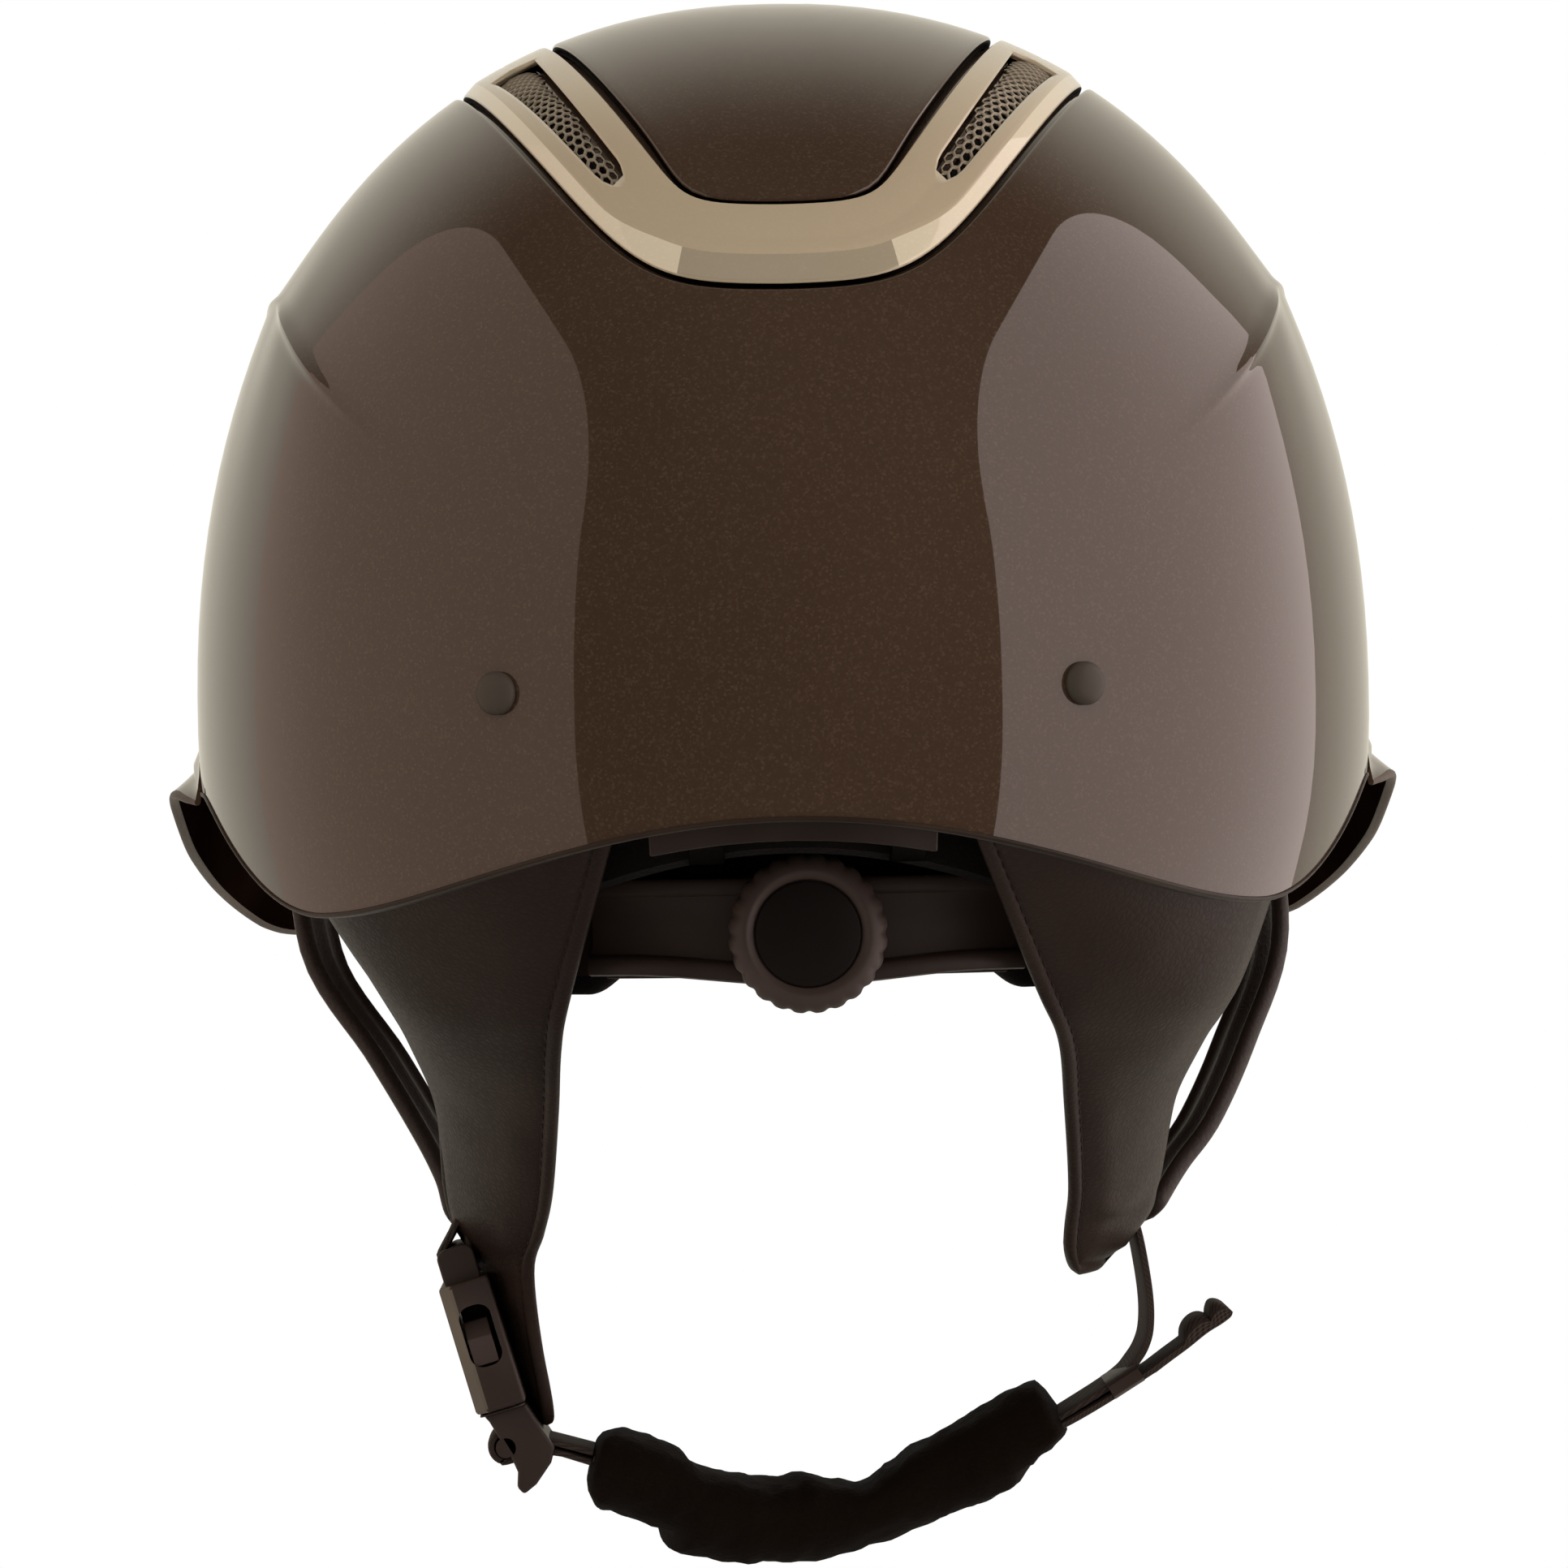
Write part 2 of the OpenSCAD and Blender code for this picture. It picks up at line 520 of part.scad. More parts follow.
module flap(stations) {
    function hung(a) = dome_polar(a, under_foam(a) + 0.6, flap_sink);
    function sheet(k, u) = let (s = stations[k],
        p = [s[1], s[2], crown_top - rim_side - s[0]],
        q = [s[3], s[4], crown_top - rim_side - s[0]],
        n = [q[1] - p[1], p[0] - q[0], 0] / norm(q - p))
        mix(p, q, u) + n * s[5] * sin(180 * u);
    top = [for (u = [0 : flap_across]) hung(mix(flap_top_from, flap_top_to, u / flap_across))];
    grid = concat([for (k = [len(stations) - 1 : -1 : 0])
        [for (u = [0 : flap_across]) sheet(k, u / flap_across)]], [top]);
    last = len(grid) - 1;
    function normal(r, c) = let (
        u = grid[r][min(flap_across, c + 1)] - grid[r][max(0, c - 1)],
        v = grid[min(last, r + 1)][c] - grid[max(0, r - 1)][c],
        n = cross(u, v))
        n / norm(n);
    function face(side) = [for (r = [0 : last]) [for (c = [0 : flap_across])
        grid[r][c] + normal(r, c) * side * leather_t / 2]];
    color(leather_brown) wall(face(1), face(-1));
}
module left_ear_flap() { flap(flap_stations); }
module right_ear_flap() { mirror([1, 0, 0]) flap(right_flap_stations); }

// Front harness strap from the temple to the flap: [x, y, drop below the rim over the ear]
strap_points = [
    [82, -51.9, -9.8], [88, -44, 9], [85.8, -34, 31], [74.8, -26.2, 49], [67.4, -20, 63], [62.4, -16.2, 75]];
module front_strap(swing) {
    pts = [for (k = [len(strap_points) - 1 : -1 : 0]) let (p = strap_points[k])
        [p[0] + swing * ease((p[2] - strap_points[1][2]) / 50), p[1], crown_top - rim_side - p[2]]];
    color(leather_brown) strap(pts, [for (p = pts) [0.35, 1, 0]], front_strap_w, leather_t);
}
module left_front_strap() { front_strap(0); }
module right_front_strap() { mirror([1, 0, 0]) front_strap(8); }

function aim(n) = [0, acos(n[2]), atan2(n[1], n[0])];

// Studs that hold the front straps, inside the temples
stud_d = 9;
module front_anchor_studs() {
    p = [strap_points[0][0], strap_points[0][1], crown_top - rim_side - strap_points[0][2]];
    q = [strap_points[1][0], strap_points[1][1], crown_top - rim_side - strap_points[1][2]];
    n = -unit(cross(unit([0.35, 1, 0]), unit(q - p)));
    inward = n[0] > 0 ? -n : n;
    color(plastic_brown) both_sides() translate(mix(p, q, 0.42) + inward * (leather_t / 2 + 2 * fit))
        rotate(aim(inward)) {
            cylinder(d = stud_d, h = 1.4);
            translate([0, 0, 1.4]) cylinder(d1 = stud_d, d2 = stud_d - 3, h = 1.2);
        }
}

// A rectangle with round corners, as points
function rounded(w, h, r, n = 4) = [for (q = [0 : 3], k = [0 : n])
    let (a = 90 * q + 90 * k / n, c = [[1, 1], [-1, 1], [-1, -1], [1, -1]][q])
    [c[0] * (w / 2 - r) + r * cos(a), c[1] * (h / 2 - r) + r * sin(a)]];
module block(x, y, z0, z1, r) {
    translate([0, 0, z0]) linear_extrude(z1 - z0) polygon(rounded(x, y, r));
}

// The buckle hangs outside the left flap. Its axis runs down and inwards.
buckle_x = 59.8;
buckle_y = -3;
buckle_rise = 27;        // height of the buckle's top above the left flap's tip
buckle_drop = rim_side + flap_stations[len(flap_stations) - 1][0] - buckle_rise;
buckle_tilt = 16;
module at_buckle() {
    translate([buckle_x, buckle_y, crown_top - buckle_drop]) rotate([0, buckle_tilt, 0]) children();
}
cavity_w = buckle_w - 2 * housing_wall;
cavity_t = housing_t - 2 * housing_wall;
roof = 3;                // solid end of the housing above the cavity
window_from = 4.8;       // the press windows, measured down from the housing's top
window_to = 15.8;
bar_h = 2.2;             // height of a web bar
bar_t = 3.2;             // thickness of a web bar
web_slot = 3.6;          // height of a web slot

module buckle_housing() {
    color(plastic_brown) at_buckle() difference() {
        union() {
            block(housing_t, buckle_w, -housing_len, 0, 2.2);
            block(bar_t, web_w + 5, -0.5, web_slot + bar_h, 1.2);
        }
        translate([-cavity_t / 2, -cavity_w / 2, -housing_len - 1])
            cube([cavity_t, cavity_w, housing_len + 1 - roof]);
        translate([-cavity_t / 2, -buckle_w / 2 - 1, -window_to])
            cube([cavity_t, buckle_w + 2, window_to - window_from]);
        translate([-bar_t, -web_w / 2 - fit, 0]) cube([2 * bar_t, web_w + 2 * fit, web_slot]);
    }
}

// A web loop round a bar: two plies that meet away from it. All in the buckle's XZ plane.
function loop_path(bar, toward, length, r) = let (
    d = unit(toward),
    n = [-d[1], d[0]],
    far = bar + d * length,
    lip = web_t / 2 + 0.1)
    concat([far + n * lip],
        [for (k = [0 : 8]) let (a = 180 * k / 8) bar + r * (n * cos(a) - d * sin(a))],
        [far - n * lip]);
loop_r = norm([bar_t, bar_h]) / 2 + web_t / 2 + 0.15;
module web_loop(bar, toward, length, r, width) {
    pts = [for (p = loop_path(bar, toward, length, r)) [p[0], 0, p[1]]];
    strap(pts, [for (p = pts) [0, 1, 0]], width, web_t);
}

module buckle_hanger_web() {
    color(web_brown) at_buckle()
        web_loop([0, web_slot + bar_h / 2], [-0.37, 1], 11, loop_r, web_w);
}

// The plug slides out of the housing. Its two prongs snap into the windows.
plug_len = 12;           // part of the plug below the housing
prong_y = 9;             // distance of a prong's pivot from the middle
pivot_r = 1.8;           // radius of a prong's pivot
pivot_z = -housing_len + pivot_r + buckle_gap;
sock_top = pivot_z + 1.2;
plug_bar_z = -housing_len - plug_len + bar_h / 2;
module buckle_plug() {
    inner_w = cavity_w - 2 * buckle_gap;
    inner_t = cavity_t - 2 * buckle_gap;
    color(plastic_brown) at_buckle() difference() {
        union() {
            block(housing_t - 1, buckle_w - 3, -housing_len - plug_len, -housing_len - fit, 2);
            block(inner_t, inner_w, -housing_len - 1, sock_top, 0.8);
            block(inner_t, 4.4, sock_top - 1, -roof - 2, 0.8);
        }
        for (side = [-1, 1]) translate([-cavity_t, side * prong_y, pivot_z]) rotate([0, 90, 0])
            cylinder(r = pivot_r + run, h = 2 * cavity_t);
        translate([-housing_t, -web_w / 2 - fit, -housing_len - plug_len + bar_h])
            cube([2 * housing_t, web_w + 2 * fit, web_slot]);
        for (side = [-1, 1]) translate([side * (bar_t / 2 + 5), 0, -housing_len - plug_len])
            cube([10, web_w + 2 * fit, 2 * bar_h], center = true);
    }
}
prong_t = 2.6;           // width of a prong's arm
prong_tip = -window_from - 2.6;
catch_z = -window_to + buckle_gap;
module prong(side) {
    thick = cavity_t - 2 * buckle_gap - 0.6;
    tab = buckle_w / 2 - 0.3;
    neck = 0.85;         // half width of the arm where it leaves the pivot
    color(plastic_brown) at_buckle() translate([-thick / 2, 0, 0]) scale([1, side, 1]) {
        translate([0, prong_y, pivot_z]) rotate([0, 90, 0]) cylinder(r = pivot_r, h = thick);
        rotate([90, 0, 90]) linear_extrude(thick) polygon([
            [prong_y - neck, pivot_z], [prong_y + neck, pivot_z],
            [prong_y + neck, sock_top + 0.6], [prong_y + prong_t / 2, sock_top + 1.4],
            [prong_y + prong_t / 2, catch_z], [tab, catch_z], [tab, catch_z + 5],
            [prong_y + prong_t / 2 + 0.6, prong_tip], [prong_y - prong_t / 2, prong_tip],
            [prong_y - prong_t / 2, sock_top + 1.4], [prong_y - neck, sock_top + 0.6]]);
    }
}
module front_prong() { prong(-1); }
module rear_prong() { prong(1); }

module plug_web() {
    color(web_brown) at_buckle()
        web_loop([0, plug_bar_z], [-1, -0.06], 10.5, loop_r, web_w - 1);
}

// The chin strap runs from the plug's web through the pad and the slider to its free tail
chin_points = [[36.9, -3, 262.8], [28, -3.3, 265.5], [15, -7, 271], [0, -10, 274.5], [-18, -11, 272],
    [-34, -10, 265], [-47, -8.3, 257.5], [-57, -8, 251.8]];
chin_last = len(chin_points) - 1;
function chin_at(k) = [chin_points[k][0], chin_points[k][1], crown_top - chin_points[k][2]];
slider_past = 6;         // from the chin strap's last bend to the slider
ply = web_t / 2 + 0.15;  // half the spacing of the two plies in the slider
slider_dir = unit([-10, 0, 6]);
slider_up = [slider_dir[2], 0, -slider_dir[0]];
slider_p = chin_at(chin_last) + slider_dir * slider_past + slider_up * ply;
function in_slider(along, layer) = slider_p + slider_dir * along + slider_up * ply * layer;
tail_from = 8;
module chin_strap() {
    pts = concat([for (k = [0 : chin_last]) chin_at(k)], [in_slider(tail_from, -1)]);
    color(web_brown) strap(pts, [for (p = pts) [0, 1, 0]], web_w, web_t);
}

// A fleece sleeve round the strap, thick in the middle and drawn in at its ends
module chin_pad() {
    last = len(chin_points) - 2;
    swell = [0.5, 0.85, 1, 1.05, 1, 0.9, 0.55];
    around = 14;
    function frame_at(k) = let (
        t = unit(chin_at(min(last, k + 1)) - chin_at(max(0, k - 1))),
        w = unit([0, 1, 0] - t * t[1]))
        [w, cross(w, t)];
    function ring(k, w, h, square) = let (
        p = mix(chin_at(k), chin_at(k + 1), k == 0 ? 0.3 : k == last ? -0.25 : 0),
        f = frame_at(k))
        [for (i = [0 : around - 1]) let (a = 360 * (i + 0.5) / around)
            p + f[0] * w / 2 * sign(cos(a)) * pow(abs(cos(a)), square)
            + f[1] * h / 2 * sign(sin(a)) * pow(abs(sin(a)), square)];
    color(pad_black) wall(
        [for (k = [last : -1 : 0]) let (w = mix(web_w + 4, chin_pad_w, swell[k]))
            ring(k, w, chin_pad_h * swell[k] + 1, 0.8)],
        [for (k = [last : -1 : 0]) ring(k, web_w + 2, web_t + 2.2, 0.6)], wrap = true);
}

// Doubled webbing passes through a slider on the right, and the free tail stands out
module strap_slider() {
    h = 4 * ply + 2 * fit;
    turn = -atan2(slider_dir[2], slider_dir[0]);
    color(plastic_brown) translate(slider_p) rotate([0, turn, 0]) difference() {
        rotate([90, 0, 0]) translate([0, 0, -(web_w + 5) / 2]) linear_extrude(web_w + 5)
            polygon(rounded(8, h + 3, 1.2));
        cube([12, web_w + 4 * fit, h], center = true);
    }
}

// The web that hangs from the right flap and doubles back through the slider
hanger_points = [
    [-63.2, -9, 221], [-65.4, -9, 226.5], [-67.6, -9, 232.5], [-67.9, -9, 237.5], [-67.2, -8.5, 241.2]];
module right_hanger_web() {
    pts = concat([for (p = hanger_points) [p[0], p[1], crown_top - p[2]]],
        [in_slider(5, 1), in_slider(-7, 1)]);
    color(web_brown) strap(pts, [for (p = pts) [0, 1, 0]], web_w - 2, web_t);
}
module strap_tail_tip() {
    root = in_slider(tail_from + 0.3, -1);
    pts = [for (k = [0 : 3]) root + slider_dir * 4 * k + slider_up * 0.25 * k * k];
    color(web_brown) strap(pts, [for (p = pts) [0, 1, 0]], web_w, web_t * 1.6);
}

// The cradle turns about a vertical axis through the head. Angles run from the rear, left first.
band_y = 18;
band_drop = rim_rear + band_hang;
module at_cradle() {
    translate([cradle_x, band_y, crown_top - band_drop]) children();
}
module sector(r0, r1, z0, z1, a0, a1) {
    rotate([0, 0, 90 + a0]) rotate_extrude(angle = a1 - a0, $fn = 120)
        translate([r0, z0]) square([r1 - r0, z1 - z0]);
}
band_in = band_r - band_t / 2;
band_out = band_r + band_t / 2;
slot_half = band_h / 2 + fit;
housing_h = 19;
housing_out = band_out + fit + 2.8;
cover_t = 1.5;

pitch_r = gear_module * pinion_teeth / 2;
pressure = 25;
addendum = 0.75 * gear_module;
dedendum = 1.0 * gear_module;
pitch = PI * gear_module;
backlash = 0.3;

// An involute pinion
function involute(r0, r) = let (p = acos(min(1, r0 / r))) tan(p) * 180 / PI - p;
module pinion_profile() {
    r0 = pitch_r * cos(pressure);
    half = 90 / pinion_teeth + involute(r0, pitch_r) - backlash / pitch_r * 90 / PI;
    root = pitch_r - dedendum;
    tip = pitch_r + addendum;
    steps = [for (k = [0 : 4]) mix(max(r0, root), tip, k / 4)];
    polygon(flat([for (i = [0 : pinion_teeth - 1]) let (a = 360 * i / pinion_teeth + 90) concat(
        [root * [cos(a - half), sin(a - half)]],
        [for (r = steps) let (b = a - half + involute(r0, r)) r * [cos(b), sin(b)]],
        [for (k = [4 : -1 : 0]) let (r = steps[k], b = a + half - involute(r0, r)) r * [cos(b), sin(b)]],
        [root * [cos(a + half), sin(a + half)]])]));
}

tongue_past = 14.5;      // the tongue's reach past the pinion
travel = 10;             // each arm's travel from rest
shoulder = tongue_past + 2 * travel + 4;
arm_end_a = 92;          // the arm's end, in degrees from the rear
function along(mm) = mm / band_r * 180 / PI;
rack_gaps = 5;           // gaps of the rack on each side of the pinion
shoulder_slope = 0.5;    // degrees over which an arm steps up to its tongue
function gap_half(z) = pitch / 4 + (pitch_r - z) * tan(pressure) + backlash / 4;

// An arm is a band whose lower edge is listed as [angle, height], teeth and all
module band_arm() {
    top = band_h / 2;
    tip = pitch_r - addendum;
    root = pitch_r + dedendum + 0.1;
    step = -along(shoulder);
    last = along(rack_gaps * pitch - gap_half(root));
    function run(a0, a1, z, n) = [for (k = [0 : n]) [mix(a0, a1, k / n), z]];
    lower = concat(
        run(-arm_end_a, step, -top, 20),
        run(step + shoulder_slope, -last - 0.5, root, 5),
        [for (k = [-rack_gaps : rack_gaps - 1], e = [[-1, root], [-1, tip], [1, tip], [1, root]])
            [along((k + 0.5) * pitch + e[0] * (pitch / 2 - gap_half(e[1]))), e[1]]],
        run(last + 0.5, along(tongue_past), root, 1));
    function edge(r, high) = [for (s = lower) [-r * sin(s[0]), r * cos(s[0]), high ? top : s[1]]];
    wall([edge(band_out, false), edge(band_out, true)], [edge(band_in, false), edge(band_in, true)]);
}
module left_band_arm() { color(plastic_brown) at_cradle() band_arm(); }
module right_band_arm() { color(plastic_brown) at_cradle() rotate([0, 180, 0]) band_arm(); }

shaft_d = 6;
key_w = 4.2;             // across the flats of the shaft's square end
key_h = 4;               // height of that end
screw_d = 2;             // the dial's screw, its length and its head
screw_h = 5;
head_d = 4.4;
head_h = 1.4;
boss_h = 0.8;
dial_y = housing_out + boss_h + fit;
module along_y(y) {
    translate([0, y, 0]) rotate([-90, 0, 0]) children();
}
module cradle_housing() {
    a = housing_half_a;
    h = housing_h / 2;
    color(plastic_brown) at_cradle() difference() {
        union() {
            sector(band_in - fit, housing_out, -h, h, -a, a);
            for (z = [-h + 1.4, h - 2.2]) sector(housing_out - 0.5, housing_out + 0.5, z, z + 0.8, -a, a);
            along_y(housing_out - 2) cylinder(d = dial_d - 4, h = boss_h + 2);
        }
        sector(band_in - 1, band_out + fit, -slot_half, slot_half, -a - 1, a + 1);
        along_y(band_r) cylinder(d = shaft_d + 2 * run, h = 20);
    }
}
module cradle_cover() {
    color(plastic_brown) at_cradle()
        sector(band_in - 2 * fit - cover_t, band_in - 2 * fit, -housing_h / 2, housing_h / 2,
            -housing_half_a, housing_half_a);
}
nape_pad_t = 5;
nape_pad_h = 17;
module nape_pad() {
    out = band_in - 3 * fit - cover_t;
    half = nape_pad_h / 2;
    a = housing_half_a + 2;
    color(pad_black) at_cradle() sector(out - nape_pad_t, out, -half, half, -a, a);
}
module dial_pinion() {
    color(plastic_brown) at_cradle() difference() {
        union() {
            along_y(band_in) linear_extrude(band_t) pinion_profile();
            along_y(band_in + 0.5) cylinder(d = shaft_d, h = dial_y - band_in - 0.6);
            translate([-key_w / 2, dial_y - 0.2, -key_w / 2]) cube([key_w, key_h, key_w]);
        }
        along_y(dial_y - 1) cylinder(d = screw_d, h = 2 * key_h);
    }
}
cap_d = 19;
cap_t = 1.4;
scallops = 24;
module dial_knob() {
    r = dial_d / 2;
    floor_y = dial_h - cap_t - fit;
    color(plastic_brown) at_cradle() along_y(dial_y) difference() {
        rotate_extrude($fn = 72) polygon([
            [0, 0], [r - 0.8, 0], [r, 0.8], [r, dial_h - 2.2], [r - 1.4, dial_h - 0.8],
            [r - 2.2, dial_h - 0.4], [r - 2.6, dial_h], [cap_d / 2 + 0.9, dial_h],
            [cap_d / 2 + fit, dial_h - 0.5], [cap_d / 2 + fit, floor_y], [0, floor_y]]);
        for (k = [0 : scallops - 1]) rotate([0, 0, 360 * k / scallops]) translate([r + 0.9, 0, -1])
            cylinder(r = 1.6, h = dial_h + 2, $fn = 16);
        translate([0, 0, key_h / 2 - 1]) cube([key_w + fit, key_w + fit, key_h + 2], center = true);
        cylinder(d = screw_d + 2 * fit, h = dial_h);
        translate([0, 0, floor_y - head_h]) cylinder(d = head_d + 2 * fit, h = dial_h);
    }
}
module dial_cap() {
    color([0.16, 0.14, 0.12]) at_cradle() along_y(dial_y + dial_h - cap_t)
        rotate_extrude($fn = 96) polygon([[0, 0], [cap_d / 2, 0], [cap_d / 2, cap_t - 0.3],
            [cap_d / 2 - 0.4, cap_t], [0, cap_t + 0.5]]);
}
module dial_screw() {
    seat = dial_y + dial_h - cap_t - fit - head_h;
    color(steel) at_cradle() along_y(seat) {
        cylinder(d = head_d, h = head_h - 0.2);
        translate([0, 0, -screw_h]) cylinder(d = screw_d - 0.2, h = screw_h + 0.1);
    }
}

// A clip strip under the rim, and two hangers from it to the housing
bracket_a = 11;          // half angle of the strip
bracket_show = 4.6;      // how far the strip shows below the trim
module cradle_bracket() {
    function face(d) = [for (t = [0, 0.5, 1]) [for (k = [-4 : 4]) let (
        a = 90 + bracket_a * k / 4,
        lo = polar_of_drop(rim_drop(a) + trim_t + bracket_show),
        hi = under_foam(a) + 0.3)
        dome_polar(a, mix(lo, hi, t), d)]];
    color(plastic_brown) wall(face(shell_wall + trim_t + 1), face(shell_wall + trim_t + 4));
}
hanger_x = 17;
module cradle_hangers() {
    top_y = over_rim_y() - 6;
    low_y = band_y + sqrt(pow(band_r, 2) - pow(hanger_x, 2)) + 1;
    low = crown_top - band_drop + housing_h / 2 + fit + 0.1;
    color(plastic_brown) for (side = [-1, 1]) let (x = cradle_x + side * hanger_x)
        strap([[x, low_y, low], [x, low_y + 1.5, low + 2.6],
            [x, mix(low_y, top_y, 0.55), crown_top - rim_rear - 7], [x, top_y, crown_top - rim_rear - 4]],
            [for (k = [0 : 3]) [1, 0, 0]], 6, 1.6);
}
function over_rim_y() = dome_polar(90, polar_of_drop(rim_rear), shell_wall + trim_t + 2.5)[1];

// Loops that carry the ends of the band's arms under the foam
guide_a = 80;
module arm_guide() {
    a0 = guide_a - 3;
    a1 = guide_a + 3;
    r = band_r + 4;
    u = [sin(guide_a), cos(guide_a)];
    foam = dome_polar(20, under_foam(20) + 0.9, foam_out + 9);
    ring_top = [cradle_x + r * u[0], band_y + r * u[1], crown_top - band_drop + band_h / 2 + 1];
    difference() {
        at_cradle() sector(band_in - 1.6, band_out + 1.6, -slot_half - 1.2, slot_half + 1.2, -a1, -a0);
        at_cradle() sector(band_in - fit, band_out + fit, -slot_half, slot_half, -a1 - 1, -a0 + 1);
    }
    strap([ring_top - [1.2, 0, 1], ring_top + [0, 0, 3], mix(ring_top, foam, 0.6) + [0, 0, 1], foam],
        [for (k = [0 : 3]) [0.3, 1, 0]], 7, 2);
}
module left_arm_guide() { color(plastic_brown) arm_guide(); }
module right_arm_guide() {
    color(plastic_brown) translate([2 * cradle_x, 0, 0]) mirror([1, 0, 0]) arm_guide();
}

outer_shell();
edge_trim();
crown_panel();
vent_frame();
left_vent_mesh();
right_vent_mesh();
peak();
foam_liner();
comfort_band();
crown_pad();
hook_and_loop_dots();
harness_rivets();
rivet_washers();
left_ear_flap();
right_ear_flap();
left_front_strap();
right_front_strap();
front_anchor_studs();
buckle_housing();
buckle_hanger_web();
buckle_plug();
front_prong();
rear_prong();
plug_web();
chin_strap();
chin_pad();
strap_slider();
right_hanger_web();
strap_tail_tip();
cradle_bracket();
cradle_hangers();
cradle_housing();
cradle_cover();
nape_pad();
left_band_arm();
right_band_arm();
left_arm_guide();
right_arm_guide();
dial_knob();
dial_cap();
dial_pinion();
dial_screw();
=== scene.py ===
# %% [markdown]
# # A riding helmet seen from behind
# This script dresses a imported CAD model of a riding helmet. The CAD holds the sizes and the
# joints. Here each visible piece gets a finer surface and a material, in the same frame and in
# metres. Before each step, a few words say what the piece is, how it could be made and why this
# way.

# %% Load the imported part
import math

import bmesh
import bpy
from mathutils import Matrix, Quaternion, Vector, noise


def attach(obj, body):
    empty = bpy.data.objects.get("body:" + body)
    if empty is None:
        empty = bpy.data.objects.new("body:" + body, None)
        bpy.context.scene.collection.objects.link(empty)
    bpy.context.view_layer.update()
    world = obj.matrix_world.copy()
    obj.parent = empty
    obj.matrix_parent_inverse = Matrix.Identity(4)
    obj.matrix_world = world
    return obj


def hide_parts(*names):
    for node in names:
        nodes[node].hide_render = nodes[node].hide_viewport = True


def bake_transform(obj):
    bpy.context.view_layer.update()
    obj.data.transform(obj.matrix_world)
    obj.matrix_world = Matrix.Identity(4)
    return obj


MM = 0.001
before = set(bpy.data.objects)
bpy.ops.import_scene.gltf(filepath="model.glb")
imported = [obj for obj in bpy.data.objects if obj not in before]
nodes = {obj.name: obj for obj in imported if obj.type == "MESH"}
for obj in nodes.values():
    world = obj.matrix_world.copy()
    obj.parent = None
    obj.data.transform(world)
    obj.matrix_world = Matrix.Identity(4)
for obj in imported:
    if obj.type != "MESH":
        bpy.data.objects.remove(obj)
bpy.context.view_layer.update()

# %% [markdown]
# ## Camera
# The photograph looks at the helmet from straight behind, level with the ears. A long lens 1.5 m
# away, turned and rolled a little, gives the same outline. A constraint could aim the camera, but
# a rotation that is worked out once leaves nothing live in the scene.

# %% Camera
DISTANCE, EYE_HEIGHT = 1.5, -0.1095
turn, roll = math.radians(0.65), math.radians(-1.0)


def placed(name, data):
    """A new object in the scene."""
    made = bpy.data.objects.new(name, data)
    bpy.context.scene.collection.objects.link(made)
    return made


eye = Vector((DISTANCE * math.sin(turn), DISTANCE * math.cos(turn), EYE_HEIGHT))
camera = placed("camera", bpy.data.cameras.new("camera"))
camera.data.sensor_width = 36
camera.data.lens = 189.0
camera.location = eye
camera.rotation_mode = "QUATERNION"
aim = Vector((-eye.x, -eye.y, 0)).to_track_quat("-Z", "Y")
camera.rotation_quaternion = aim @ Quaternion((0, 0, 1), roll)
bpy.context.scene.camera = camera
bpy.context.scene.view_settings.view_transform = "Standard"
print("Camera at", [round(v, 4) for v in eye])

# %% [markdown]
# ## Shader sums
# A material is a graph of nodes. Written out by hand, every sum costs a node and its links. A
# small class wraps an output instead, so that 1 - mask reads as plain arithmetic and adds its Math
# node. One method, add, makes every other node.

# %% Node outputs
class Value:
    """The output of a node. Arithmetic on it adds Math nodes."""

    def __init__(self, graph, out):
        self.graph, self.out = graph, out

    def math(self, operation, *terms):
        return self.graph.add("Math", {"operation": operation}, *terms)

    def __add__(self, other):
        return self.math("ADD", self, other)

    def __sub__(self, other):
        return self.math("SUBTRACT", self, other)

    def __rsub__(self, other):
        return self.math("SUBTRACT", other, self)

    def __mul__(self, other):
        return self.math("MULTIPLY", self, other)

    def __pow__(self, other):
        return self.math("POWER", self, other)

    __radd__ = __add__
    __rmul__ = __mul__

    def sin(self):
        return self.math("SINE", self)

    def abs(self):
        return self.math("ABSOLUTE", self)

    def ramp(self, low, high, start=0.0, end=1.0):
        """start below low, end above high, and smooth between them."""
        return self.graph.add("MapRange", {"interpolation_type": "SMOOTHSTEP"},
                              self, low, high, start, end)


